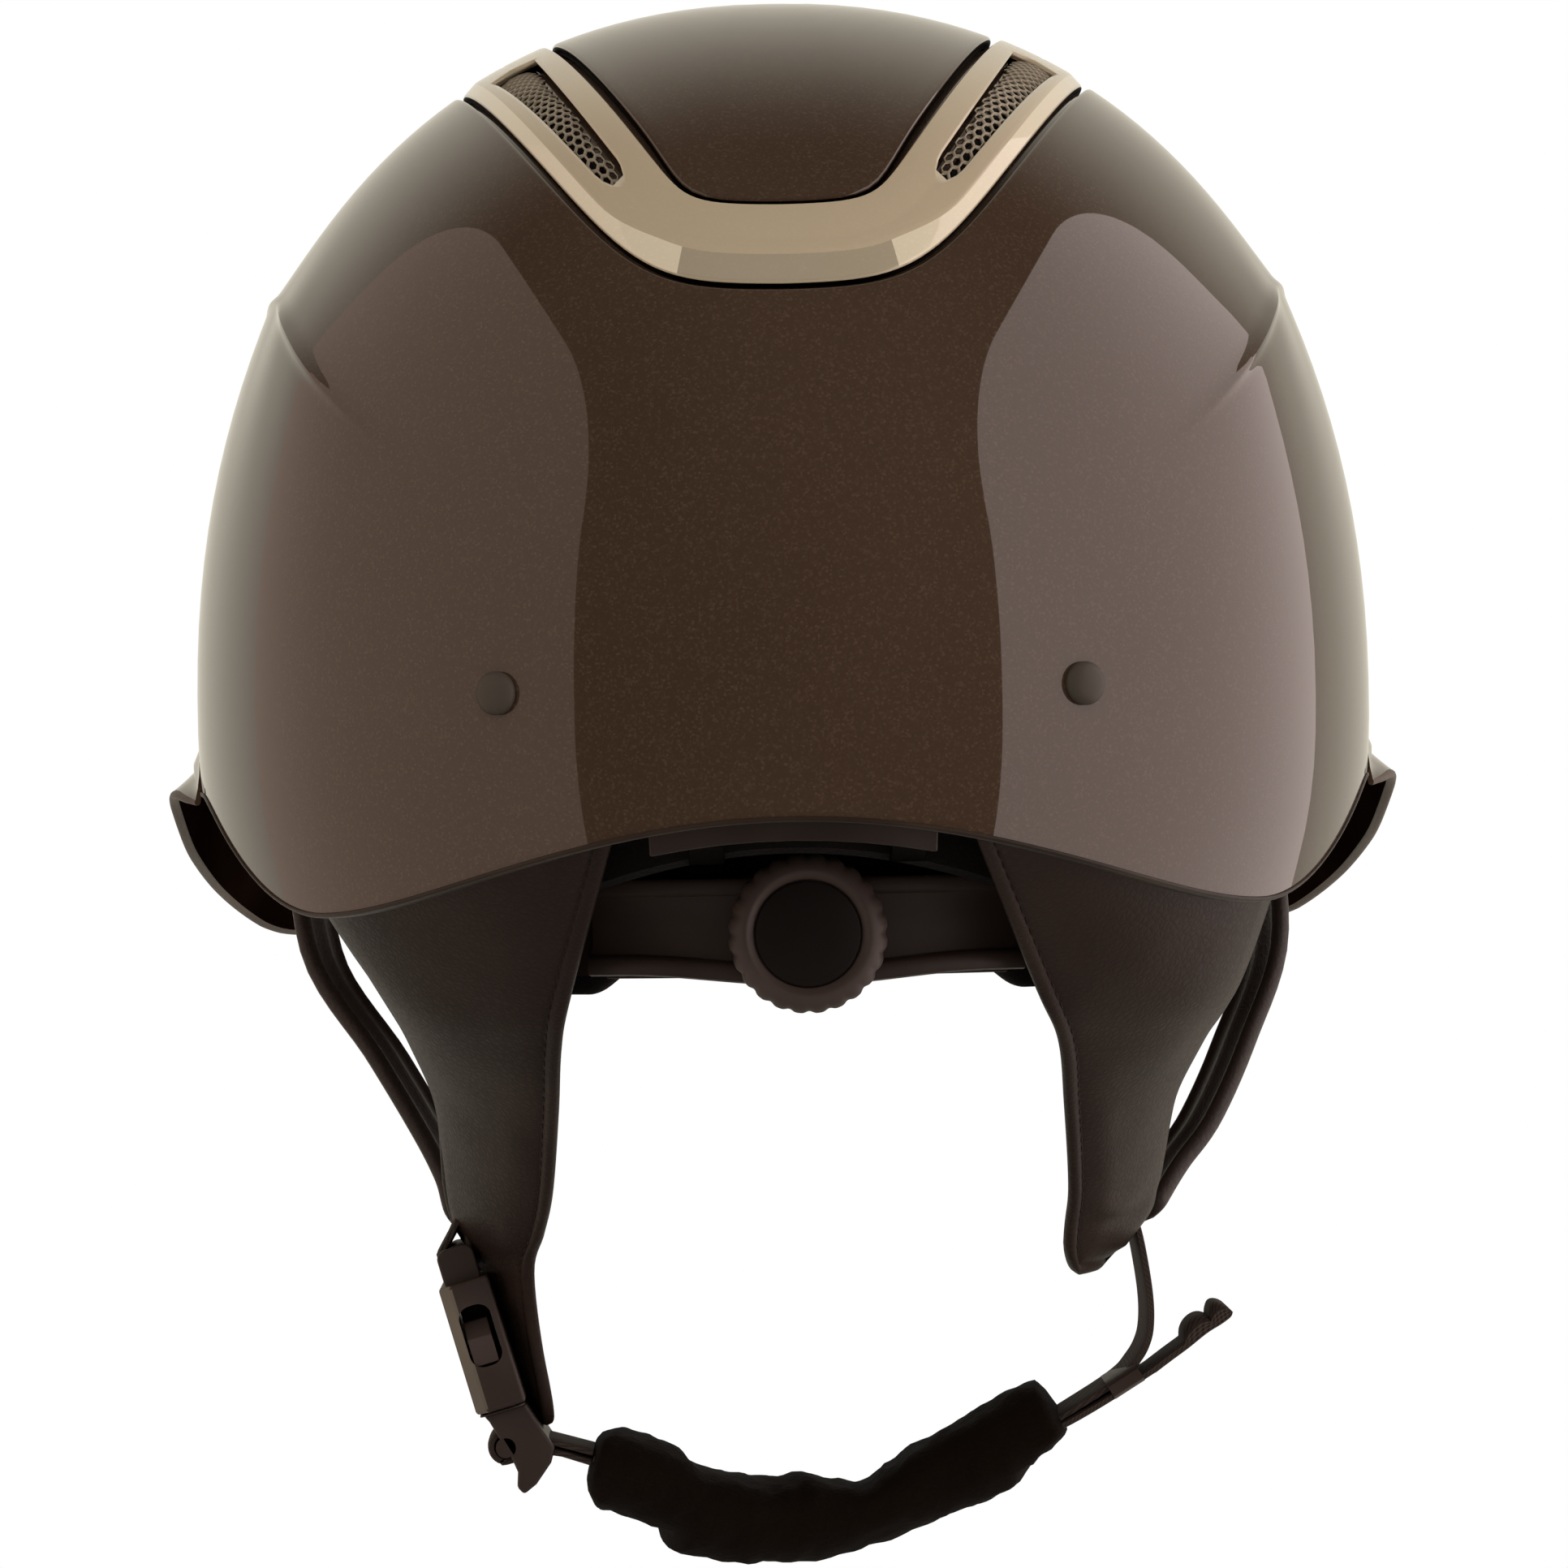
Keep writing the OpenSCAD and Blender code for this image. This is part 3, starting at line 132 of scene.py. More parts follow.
# %% Node trees
class Graph:
    """A node tree that add() fills."""

    def __init__(self, owner):
        owner.use_nodes = True
        self.tree = owner.node_tree
        self.tree.nodes.clear()

    def add(self, kind, settings=None, *inputs, pick=0, **named):
        """Adds a node and returns its output pick. Inputs go in by place or by name."""
        node = self.tree.nodes.new("ShaderNode" + kind)
        for key, value in (settings or {}).items():
            setattr(node, key, value)
        for key, value in [*enumerate(inputs), *named.items()]:
            if value is not None:
                place = key if isinstance(key, int) else key.replace("_", " ")
                self.plug(node.inputs[place], value)
        return Value(self, node.outputs[pick]) if node.outputs else None

    def plug(self, socket, value):
        if isinstance(value, Value):
            self.tree.links.new(value.out, socket)
        else:
            socket.default_value = value

    def blend(self, share, low, high):
        """A colour that goes from low to high with share."""
        others = [None] * 5  # a Mix node's colours are its inputs 6 and 7
        return self.add("Mix", {"data_type": "RGBA"}, share, *others, low, high, pick=2)

    def place(self):
        return self.add("TexCoord", pick="Object")

    def noise(self, scale, detail=2.0):
        return self.add("TexNoise", Vector=self.place(), Scale=scale, Detail=detail)

    def cells(self, scale, feature="F1", pick="Distance"):
        return self.add("TexVoronoi", {"feature": feature}, Vector=self.place(), Scale=scale,
                        pick=pick)

    def bump(self, height, depth, strength):
        """A normal from a height between 0 and 1, where depth is in millimetres."""
        return self.add("Bump", Strength=strength, Distance=depth * MM, Height=height)


def rgb(*shades):
    """A colour of three display shades from 0 to 255, made linear."""
    return (*[(s / 255) ** 2.2 for s in shades], 1)


WHITE = (1, 1, 1, 1)

# %% [markdown]
# ## Studio
# The photograph's ground is pure white, and each flank of the lacquer mirrors a tall, round-
# cornered light. The world does the first: white to the camera, and to the lacquer bright beyond
# the helmet and dark on the camera's side. Light Path tells the kinds of ray apart.

# %% World
BACKDROP_GLOW, DARK_SIDE, SOFT_LEVEL = 0.78, 0.025, 0.45
world = bpy.data.worlds.new("studio")
bpy.context.scene.world = world
g = Graph(world)
side = g.add("SeparateXYZ", None, g.add("TexCoord", pick="Generated"), pick="Y")
seen = g.add("LightPath", pick="Is Camera Ray")
soft = g.add("LightPath", pick="Is Diffuse Ray")
mirrored = side.ramp(-0.8, -0.15, BACKDROP_GLOW, DARK_SIDE)
tint = g.blend(soft, (1, 0.94, 0.79, 1), (1, 0.98, 0.94, 1))
unseen = SOFT_LEVEL * soft + mirrored * (1 - soft)
strength = seen + unseen * (1 - seen)
g.add("OutputWorld", None, g.add("Background", None, g.blend(seen, tint, WHITE), strength))
print("World of", len(g.tree.nodes), "nodes")

# %% [markdown]
# The two mirrored lights could be area lights, but those have sharp corners. A glowing mesh takes
# any outline, so a flat grid has its two upper corners rounded by a bevel. Two soft area lights,
# which the lacquer doesn't mirror, carry the rest.

# %% Panels and fill lights
PANEL_HALF, PANEL_CORNER, PANEL_AT = (1.02, 1.06), 0.6, (0.21, 0.15)
FILL_SIZE, FILL_AIM = 1.6, Vector((0, 0, -0.1))


def mesh_object(name, bm):
    """A bmesh as a new object in the scene."""
    data = bpy.data.meshes.new(name)
    bm.to_mesh(data)
    bm.free()
    return placed(name, data)


def panel(name, x, colour, strength):
    """A tall glowing panel with round upper corners, upright beside the helmet."""
    bm = bmesh.new()
    bmesh.ops.create_grid(bm, x_segments=1, y_segments=1, size=1,
                          matrix=Matrix.Diagonal((*PANEL_HALF, 1, 1)))
    top = [v for v in bm.verts if v.co.y > 0]
    bmesh.ops.bevel(bm, geom=top, offset=PANEL_CORNER, segments=16, profile=0.5,
                    affect="VERTICES", offset_type="OFFSET", material=-1)
    made = mesh_object(name, bm)
    glow = bpy.data.materials.new(name)
    g = Graph(glow)
    g.add("OutputMaterial", None, g.add("Emission", None, (*colour, 1), strength))
    made.data.materials.append(glow)
    made.location = (x, *PANEL_AT)
    made.rotation_euler = (math.radians(90), 0, math.radians(90))
    made.visible_camera = False
    print(name, "at x", x)


def fill_light(name, centre, power):
    """A soft square light aimed at the helmet, which the lacquer doesn't mirror."""
    data = bpy.data.lights.new(name, "AREA")
    data.size = FILL_SIZE
    data.energy = power
    light = placed(name, data)
    light.location = centre
    light.rotation_euler = (FILL_AIM - light.location).to_track_quat("-Z", "Y").to_euler()
    light.visible_camera = False
    light.visible_glossy = False
    print(name, power, "W")


panel("left_panel", 1.0, (1.0, 0.78, 0.66), 0.8)
panel("right_panel", -1.0, (1.0, 0.86, 0.82), 1.9)
fill_light("rear_fill", (0.3, 1.9, 1.5), 24)
fill_light("front_fill", (0, -2.0, 0.6), 14)

# %% [markdown]
# The photograph shows no floor. This one lies below its view and serves the other views: a pale
# disc that the camera sees as almost white and that still holds the helmet's shadow. It is clear
# from below, so that a low camera isn't shut out.

# %% Floor
bm = bmesh.new()
bmesh.ops.create_circle(bm, cap_ends=True, segments=96, radius=2.5)
floor = mesh_object("floor", bm)
floor.location = (0, 0, -0.6)
floor.visible_glossy = False
paper = bpy.data.materials.new("paper")
g = Graph(paper)
lit = g.add("BsdfDiffuse", None, rgb(240, 240, 238))
glow = g.add("Emission", None, WHITE, 1.0)
seen = g.add("LightPath", pick="Is Camera Ray")
face = g.add("MixShader", None, seen * 0.8, lit, glow)
under = g.add("NewGeometry", pick="Backfacing")
g.add("OutputMaterial", None, g.add("MixShader", None, under, face, g.add("BsdfTransparent")))
floor.data.materials.append(paper)
print("Floor at", round(floor.location.z, 1), "m")

# %% [markdown]
# ## Materials
# Real surfaces vary at their own scale: flakes, grain, weave, beads. Pictures could show that, but
# nodes need no files and stay sharp from close by. One function makes a Principled shader. What is
# the same all over goes on its own sockets, and a look adds what varies.

# %% One maker for all
def paint(name, look, **fixed):
    """A material of one Principled shader. look(graph) gives the inputs that vary."""
    made = bpy.data.materials.new(name)
    graph = Graph(made)
    shader = graph.add("BsdfPrincipled")
    for key, value in {**fixed, **look(graph)}.items():
        graph.plug(shader.out.node.inputs[key.replace("_", " ")], value)
    graph.add("OutputMaterial", None, shader)
    print(name, "of", len(graph.tree.nodes), "nodes")
    return made


# %% [markdown]
# The shell is brown paint with metal flakes under a clear coat. Noise is too soft for flakes, so
# tiny random cells stand for them, each with its own tone, and the coat over them stays smooth.
# The frame wears a champagne paint of the same kind, in three tones, because its facets catch
# different lights: the face, a paler copy that paints the highlight on the arms' facets, and a
# darker copy that paints the shade on the bar's facet.

# %% Lacquer and champagne
def flaked(dark, light):
    def look(g):
        flake = g.add("SeparateColor", None, g.cells(2600.0, pick="Color"))
        shine = (flake ** 5.0) * 0.32 + g.noise(14.0) * 0.3
        return {"Base_Color": g.blend(shine, rgb(*dark), rgb(*light)),
                "Roughness": 0.42 + flake * 0.12, "Normal": g.bump(flake, 0.004, 0.2)}
    return look


def metal_paint(name, dark, light, metallic=0.15):
    return paint(name, flaked(dark, light), Metallic=metallic, Specular_IOR_Level=0.2,
                 Coat_Weight=1.0, Coat_Roughness=0.03)


lacquer = paint("lacquer", flaked((55, 43, 34), (88, 73, 61)), Metallic=0.06,
                Specular_IOR_Level=0.0, Coat_Weight=1.0, Coat_Roughness=0.02, Coat_IOR=1.5)
champagne = metal_paint("champagne", (167, 152, 126), (176, 161, 136))
# Paler and darker copies of the champagne: painted highlight on the arms' facets, painted shade on
# the bar's facet.
champagne_painted_highlight = metal_paint("champagne_painted_highlight", (196, 184, 158), (210, 199, 175), 0.1)
champagne_painted_shade = metal_paint("champagne_painted_shade", (148, 137, 116), (160, 149, 128))

# %% [markdown]
# Moulded plastic and rubber have a fine matt grain, and wide patches that handling has worn a
# little paler. One look serves them all, so that the parts read as one family of two tones each.

# %% Plastics, rubber and bare metal
def moulded(tone, worn, grain=900.0):
    def look(g):
        fine = g.noise(grain, 3.0)
        wide = g.noise(35.0).ramp(0.35, 0.75)
        return {"Base_Color": g.blend(wide, rgb(*tone), rgb(*worn)),
                "Roughness": 0.42 + fine * 0.2, "Normal": g.bump(fine, 0.03, 0.5)}
    return look


def plastic_paint(name, tone, worn, shine=0.3, grain=900.0, **fixed):
    return paint(name, moulded(tone, worn, grain), Specular_IOR_Level=shine, **fixed)


plastic = plastic_paint("plastic", (43, 33, 29), (53, 43, 38))
buckle_plastic = plastic_paint("buckle_plastic", (50, 41, 37), (60, 50, 45))
# Paler plastic: a painted highlight on the bevel faces of the buckle that turn towards the light.
buckle_painted_highlight = plastic_paint("buckle_painted_highlight", (84, 77, 67), (96, 89, 78))
dial_plastic = plastic_paint("dial_plastic", (58, 48, 44), (68, 57, 52))
cap_gloss = plastic_paint("cap_gloss", (25, 20, 18), (32, 26, 23), 0.2, 2000.0,
                          Coat_Weight=0.5, Coat_Roughness=0.12)
# Near-black: the hanger clips' own plastic, and painted shadow on the side walls in the gaps round
# the frame and the crown panel.
black_plastic_and_gap_shade = plastic_paint("black_plastic_and_gap_shade", (10, 8, 7), (16, 13, 11), 0.05)
rivet_paint = plastic_paint("rivet_paint", (60, 54, 47), (68, 61, 54), 0.25)
rubber = plastic_paint("rubber", (40, 30, 23), (52, 41, 33), 0.3, 1400.0)
# Painted shade: the peak's underside is darkened as if in its own shadow.
peak_underside_painted_shade = plastic_paint("peak_underside_painted_shade", (20, 14, 11), (28, 21, 17), 0.0, 1400.0)
# Painted highlight: the peak's lip is paler as if lit.
peak_lip_painted_highlight = plastic_paint("peak_lip_painted_highlight", (70, 60, 51), (82, 71, 61), 0.3, 1400.0)
thread = plastic_paint("thread", (34, 27, 23), (44, 36, 31), 0.1, 4000.0)
mesh_paint = paint("mesh_paint", moulded((136, 124, 106), (160, 148, 130), 2000.0), Metallic=0.5)
steel = paint("steel", moulded((150, 150, 148), (176, 175, 172), 2600.0), Metallic=0.9)

# %% [markdown]
# Leather is small raised grains with creases between them. The distance to the edge of random
# cells gives the grains, and noise adds wider creases. The front straps are polished, the flaps
# are not.

# %% Leather
def grained(g):
    grain = g.cells(760.0, "DISTANCE_TO_EDGE") ** 0.5
    crease = g.noise(95.0, 4.0)
    broad = g.noise(22.0).ramp(0.3, 0.75)
    tone = g.blend(broad * 0.7 + grain * 0.3, rgb(36, 28, 24), rgb(50, 41, 36))
    return {"Base_Color": tone, "Roughness": 0.56 - grain * 0.14,
            "Normal": g.bump(grain * 0.7 + crease * 0.6, 0.16, 0.6)}


leather = paint("leather", grained, Specular_IOR_Level=0.11)
strap_leather = paint("strap_leather", grained, Specular_IOR_Level=0.35)

# %% [markdown]
# Webbing is a ribbed twill, and its ribs have to run along each strap. So this look reads the UV
# map, which the meshes below give in millimetres, where the others read Object coordinates.

# %% Webbing
RIB, PICK = 1.5, 1.1


def woven(g):
    strip = g.add("TexCoord", pick="UV")
    u, v = (g.add("SeparateXYZ", None, strip, pick=axis) for axis in "XY")
    ribs = (u * (2 * math.pi / RIB)).sin().abs()
    picks = ((v + u * 0.5) * (2 * math.pi / PICK)).sin() * 0.5 + 0.5
    fuzz = g.noise(1700.0, 3.0)
    height = ribs * 0.5 + picks * 0.35 + fuzz * 0.15
    tone = g.blend(height.ramp(0.15, 0.85), rgb(32, 26, 23), rgb(64, 55, 50))
    return {"Base_Color": tone, "Roughness": 0.7 + fuzz * 0.2, "Normal": g.bump(height, 0.14, 0.7)}


webbing = paint("webbing", woven, Specular_IOR_Level=0.15)

# %% [markdown]
# Fleece and knit are a deep, dark nap. Hair could show each fibre, but the export would lose it,
# so noise and small tufts give the nap as bump. Foam shows the beads that it was blown from, which
# are cells again, with a dark line between them.

# %% Fleece, knit and foam
def napped(dark, light, scale):
    def look(g):
        nap = g.noise(scale, 4.0)
        tuft = g.cells(scale * 0.45)
        wide = g.noise(60.0)
        return {"Base_Color": g.blend(nap * 0.6 + wide * 0.4, rgb(*dark), rgb(*light)),
                "Roughness": 0.82 + nap * 0.15, "Normal": g.bump(nap * 0.6 + tuft * 0.4, 0.35, 0.7)}
    return look


def beaded(g):
    bead = g.cells(330.0, "DISTANCE_TO_EDGE").ramp(0.0, 0.12)
    own = g.add("SeparateColor", None, g.cells(330.0, pick="Color"))
    return {"Base_Color": g.blend(own * 0.5 + bead * 0.3, rgb(20, 19, 18), rgb(38, 37, 35)),
            "Roughness": 0.75 - bead * 0.2, "Normal": g.bump(bead, 0.25, 0.7)}


fleece = paint("fleece", napped((14, 11, 8), (28, 22, 18), 1500.0), Specular_IOR_Level=0.03,
               Sheen_Weight=0.01, Sheen_Roughness=0.6)
knit = paint("knit", napped((14, 12, 11), (27, 24, 22), 2200.0), Specular_IOR_Level=0.1,
             Sheen_Weight=0.03)
beads = paint("beads", beaded)
print(len(bpy.data.materials), "materials")

# %% [markdown]
# ## Mesh helpers
# The shell, the pads and the straps are all surfaces through rows of points. A modifier could bend
# a flat sheet, but here formulas give every row, so a grid operator makes the faces and the UV
# map, and each vertex then goes to its place. Rows are in millimetres.

# %% Rows to meshes
WELD = 2e-6


def keep(name, bm, smooth=40):
    """The mesh as an object, smooth but for edges sharper than an angle in degrees."""
    made = mesh_object(name, bm)
    made.data.shade_smooth()
    made.data.set_sharp_from_angle(angle=math.radians(smooth))
    return made


def skin(name, rows, ring=False, hole=None, size=(1, 1), zone=None, caps=False, smooth=40):
    """A surface through rows of points. A ring row ends where it starts."""
    cols = len(rows[0]) - (0 if ring else 1)
    bm = bmesh.new()
    layer = bm.loops.layers.uv.new("UVMap")
    bmesh.ops.create_grid(bm, x_segments=cols, y_segments=len(rows) - 1, size=0.5, calc_uvs=True)
    points = [p for row in rows for p in ([*row, row[0]] if ring else row)]
    for v, p in zip(bm.verts, points):
        v.co = Vector(p) * MM
    gone = []
    for i, f in enumerate(bm.faces):
        r, c = divmod(i, cols)
        f.material_index = zone(r, c) if zone else 0
        if hole and hole(r, c):
            gone.append(f)
        for loop in f.loops:
            loop[layer].uv = [a * b for a, b in zip(loop[layer].uv, size)]
    bmesh.ops.delete(bm, geom=gone, context="FACES")
    bmesh.ops.remove_doubles(bm, verts=bm.verts, dist=WELD)
    if caps:
        bmesh.ops.holes_fill(bm, edges=[e for e in bm.edges if e.is_boundary], sides=0)
    bmesh.ops.recalc_face_normals(bm, faces=bm.faces)
    return keep(name, bm, smooth)


# %% [markdown]
# A thin shell gets its wall from Solidify and its round edges from Bevel. Both could be worked
# into the mesh, but as modifiers they stay easy to change. Every finished piece is dressed: it
# gets its material and says which CAD nodes it stands for and which body carries it.

# %% Walls, edges and dressing
def rounded(piece, bevel, segments=3):
    """Rounds the sharp edges of a piece by a width in millimetres."""
    edge = piece.modifiers.new("edge", "BEVEL")
    edge.width = bevel * MM
    edge.segments = segments
    edge.limit_method = "ANGLE"
    edge.angle_limit = math.radians(35)
    edge.harden_normals = True
    return piece


def solid(piece, thick, bevel=0.0, segments=3):
    """Gives a surface its thickness in millimetres, on the inner side, and rounds its edges."""
    wall = piece.modifiers.new("wall", "SOLIDIFY")
    wall.thickness = thick * MM
    wall.offset = -1.0
    return rounded(piece, bevel, segments) if bevel else piece


def dress(piece, stuff, slot, body, *replaced):
    """Gives a piece its materials, its body and the CAD nodes it stands for. The slot is not used.
    """
    for one in stuff if isinstance(stuff, list) else [stuff]:
        piece.data.materials.append(one)
    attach(piece, body)
    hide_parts(*replaced)
    print(piece.name, len(piece.data.polygons), "faces on", body)
    return piece


# %% [markdown]
# Two small functions serve every formula below. One goes straight from a value to another, and the
# other makes a step smooth, as a float curve would do in a node tree.

# %% Straight and smooth steps
def ease(t):
    """0 below 0, 1 above 1, and smooth between them."""
    return (1 - math.cos(math.pi * min(1, max(0, t)))) / 2


def mix(a, b, t):
    return a + (b - a) * t


# %% [markdown]
# ## The dome
# A helmet's shell is rounder than a box and fuller than an ellipsoid. A superellipsoid has just
# one number for that, so the CAD uses it, and these formulas are the CAD's own. A point is given
# by its azimuth a, where 90 is the nape, and its polar angle f down from the crown, both in
# degrees.

# %% Dome formulas
HALF_W, REAR, FRONT, RISE, TUCK, SQUARE = 106, 134, 128, 127, 105, 2.2
CROWN_TOP = 31.5
LEVEL = CROWN_TOP - RISE


def sind(a):
    return math.sin(math.radians(a))


def cosd(a):
    return math.cos(math.radians(a))


def fold(a):
    """The azimuth brought to the range from -90, the brow, to 90, the nape."""
    return math.degrees(math.asin(max(-1, min(1, sind(a)))))


def reach(a, d=0):
    """How far the dome's widest outline reaches at an azimuth, d millimetres inside it."""
    back = (REAR if sind(a) > 0 else FRONT) - d
    across, along = abs(cosd(a)) / (HALF_W - d), abs(sind(a)) / back
    return (across ** SQUARE + along ** SQUARE) ** (-1 / SQUARE)


def dome(a, f, d=0):
    """The point on the dome, d millimetres inside it."""
    r = reach(a, d) * max(0, sind(f)) ** (2 / SQUARE)
    c = cosd(f)
    z = (RISE - d) * c ** (2 / SQUARE) if c >= 0 else -TUCK * (-c) ** (2 / SQUARE)
    return Vector((r * cosd(a), r * sind(a), LEVEL + z))


def polar_of_drop(drop):
    """The polar angle at which the dome lies a drop below its top."""
    z = CROWN_TOP - drop - LEVEL
    if z >= 0:
        return math.degrees(math.acos(min(1, (z / RISE) ** (SQUARE / 2))))
    return 90 + math.degrees(math.asin(min(1, (-z / TUCK) ** (SQUARE / 2))))


def polar_of_reach(a, r):
    """The polar angle at which the upper dome reaches r at an azimuth."""
    return math.degrees(math.asin(min(1, (r / reach(a)) ** (SQUARE / 2))))


# %% [markdown]
# The inlay on the crown is drawn in plan, as seen from above, and then laid on the dome. Lowering
# its points straight down would leave slanted walls on the steep nape, so below works square to
# the dome.

# %% From the plan to the dome
def over_plan(p, d=0):
    """The dome's point over a plan point, on a dome that is d millimetres smaller."""
    back = (REAR if p[1] > 0 else FRONT) - d
    rho = (abs(p[0]) / (HALF_W - d)) ** SQUARE + (abs(p[1]) / back) ** SQUARE
    return Vector((p[0], p[1], LEVEL + (RISE - d) * max(0, 1 - rho) ** (1 / SQUARE)))


def below(p, d):
    """The point d millimetres under the dome, square to it, at a plan point."""
    x, y = Vector((0.5, 0)), Vector((0, 0.5))
    across = over_plan(p + x) - over_plan(p - x)
    along = over_plan(p + y) - over_plan(p - y)
    return over_plan(p) - across.cross(along).normalized() * d


# %% [markdown]
# Three lines run round the helmet: the rim, which hangs lowest behind each ear, a crease over the
# ears, and the outer edge of the vent frame. Rows of the shell run from one to the next.

# %% Rim, crease and frame edge
RIM_NAPE, RIM_CORNER, RIM_SIDE, RIM_BROW = 146.6, 162, 141, 118
CREASE_NAPE, CREASE_SIDE, CREASE_BROW = 105, 54, 78
CORNER_AT, SIDE_AT, CREASE_AT = 46, 13, 16
FRAME_HALF, FRAME_REAR, FRAME_FRONT, BAR_AT, BAR_CORNER = 56.5, 123.69, 104, 117.8, 19.7
FRAME_W = 17.2
GAP = 1.2
SLOPE_RUN = 8


def rim_drop(a):
    """How far the rim lies below the crown, most at the corner behind the ear."""
    s = fold(a)
    if s >= CORNER_AT:
        return mix(RIM_CORNER, RIM_NAPE, ease((s - CORNER_AT) / (90 - CORNER_AT)))
    if s >= SIDE_AT:
        return mix(RIM_SIDE, RIM_CORNER, ease((s - SIDE_AT) / (CORNER_AT - SIDE_AT)))
    return mix(RIM_SIDE, RIM_BROW, ease((SIDE_AT - s) / (SIDE_AT + 90)))


def crease_drop(a):
    """The same for the crease, least over the ear."""
    s = fold(a)
    if s > CREASE_AT:
        return mix(CREASE_SIDE, CREASE_NAPE, ease((s - CREASE_AT) / (90 - CREASE_AT)))
    return mix(CREASE_SIDE, CREASE_BROW, ease((CREASE_AT - s) / (CREASE_AT + 90)))


def frame_edge(a):
    """The vent frame's outer edge in plan, an ellipse that the rear bar cuts off."""
    oval = math.hypot(cosd(a) / FRAME_HALF, sind(a) / (FRAME_REAR if sind(a) > 0 else FRAME_FRONT))
    bar = max(0, sind(a)) / BAR_AT
    r = (oval ** BAR_CORNER + bar ** BAR_CORNER) ** (-1 / BAR_CORNER)
    return Vector((r * cosd(a), r * sind(a)))


def in_plan(a, s):
    """The plan point s millimetres inside that edge, measured over the dome."""
    t = frame_edge(a + 1) - frame_edge(a - 1)
    out = Vector((t.y, -t.x)).normalized()
    p = frame_edge(a)
    fall = over_plan(p - SLOPE_RUN * out).z - over_plan(p).z
    return p - s * (SLOPE_RUN / math.hypot(SLOPE_RUN, fall)) * out


def row_polar(a, t):
    """Rows of the shell: 0 at the rim, 1 at the crease, 2 at the bed's edge."""
    rim, crease = polar_of_drop(rim_drop(a)), polar_of_drop(crease_drop(a))
    edge = polar_of_reach(a, in_plan(a, -GAP).length)
    return mix(rim, crease, t) if t <= 1 else mix(crease, edge, t - 1)


def around(count):
    """Azimuths all round, from the nape."""
    return [90 + 360 * k / count for k in range(count)]


print("Shell spans", round(2 * reach(0)), "by", round(reach(90) + reach(-90)), "mm")

# %% [markdown]
# ## Shell
# The real shell is one moulding: a lacquered skin with a crease on each side, which rolls over
# into a bed for the inlay. Sculpting could raise the crease, but rows that crowd together there
# keep it crisp. A thin bead along it catches the light, and the skin falls off faster above it
# than below.

# %% Crease
TO_BED, TO_RIM = 36, 62
PROUD, SWELL_FROM, SWELL_OVER, FADE_FROM, FADE_OVER = 1.4, 22, 12, 38, 22
FALL_ABOVE, FALL_BELOW = 6, 14
BEAD_HIGH, BEAD_WIDE = 0.26, 0.9


def crest(a, t):
    """How far the skin stands proud at a row, highest behind the ear and gone at the nape."""
    s = fold(a)
    away = (t - 1) * (TO_BED if t > 1 else TO_RIM)
    high = PROUD + ease((s - SWELL_FROM) / SWELL_OVER)
    high *= 1 - ease((s - FADE_FROM) / FADE_OVER)
    bead = BEAD_HIGH * high * math.exp(-(away / BEAD_WIDE) ** 2)
    return bead + high * math.exp(-abs(away) / (FALL_ABOVE if t > 1 else FALL_BELOW))


ROLL_FROM = -2.2


def above_crease(a, t):
    """A point between the crease and the bed, heading for the bed's edge at the same plan place."""
    bed = in_plan(a, ROLL_FROM)
    turn_to = (math.degrees(math.atan2(bed.y, bed.x)) - a + 180) % 360 - 180
    low = polar_of_drop(crease_drop(a))
    high = polar_of_reach(a + turn_to, bed.length)
    return dome(a + turn_to * t, mix(low, high, t), -crest(a, 1 + t))


print("Crease stands", round(crest(34, 1), 1), "mm proud behind the ear")

# %% [markdown]
# Each vent is a long slot with round ends. One formula for its half width cuts the bed, the frame
# and the grid alike, so the three always agree.

# %% Vent slots
SLOT_FROM, SLOT_TO, SLOT_WIDE, SLOT_NARROW = 36, 72.5, 9, 5
FRONT_ROUND, REAR_ROUND = 0.03, 0.075


def slot_half(a):
    """Half width of a vent slot, round at both ends."""
    s = fold(a)
    if not SLOT_FROM < s < SLOT_TO:
        return 0
    share = (s - SLOT_FROM) / (SLOT_TO - SLOT_FROM)
    ends = min(1, share / FRONT_ROUND, (1 - share) / REAR_ROUND)
    return mix(SLOT_WIDE, SLOT_NARROW, share) / 2 * math.sqrt(ends * (2 - ends))


print("Slots are", round(2 * slot_half(54), 1), "mm wide in the middle")

# %% [markdown]
# The rows go up from the rim to the crease and on to the bed, roll over its edge and close at the
# crown. Faces between two rows are left out for the slots. A Boolean could cut them as well, but
# it leaves long thin faces, which shade badly under a gloss coat.

# %% Outer shell
WALL, BED = 2.6, 2.2
LEDGE = 0.9
ring = around(360)
to_crease = [k / 16 for k in range(16)] + [0.965, 0.977, 0.984, 0.99, 0.995, 1]
from_crease = [0.008, 0.016, 0.025, 0.036, 0.05] + [k / 14 for k in range(1, 15)]
rows = [[dome(a, row_polar(a, t), -crest(a, t)) for a in ring] for t in to_crease]
rows += [[above_crease(a, t) for a in ring] for t in from_crease]
for s, d in ((-1.8, 0.01), (-1.55, 0.06), (-1.3, 0.25), (-1.2, 0.6), (-1.2, 1.4), (-1.1, BED)):
    rows.append([below(in_plan(a, s), d) for a in ring])
first = len(rows)
for edge in (-1, 1):
    rows.append([over_plan(in_plan(a, FRAME_W / 2 + edge * max(0, slot_half(a) - LEDGE)), BED)
                 for a in ring])
for t in (1, 0.8, 0.55, 0.3, 0.12, 0):
    rows.append([over_plan(in_plan(a, FRAME_W) * t, BED) for a in ring])
shell = skin("shell_skin", rows, ring=True,
             hole=lambda r, c: r == first and slot_half(ring[c] + 0.5) > 0.95)
solid(shell, WALL, bevel=0.5, segments=2)
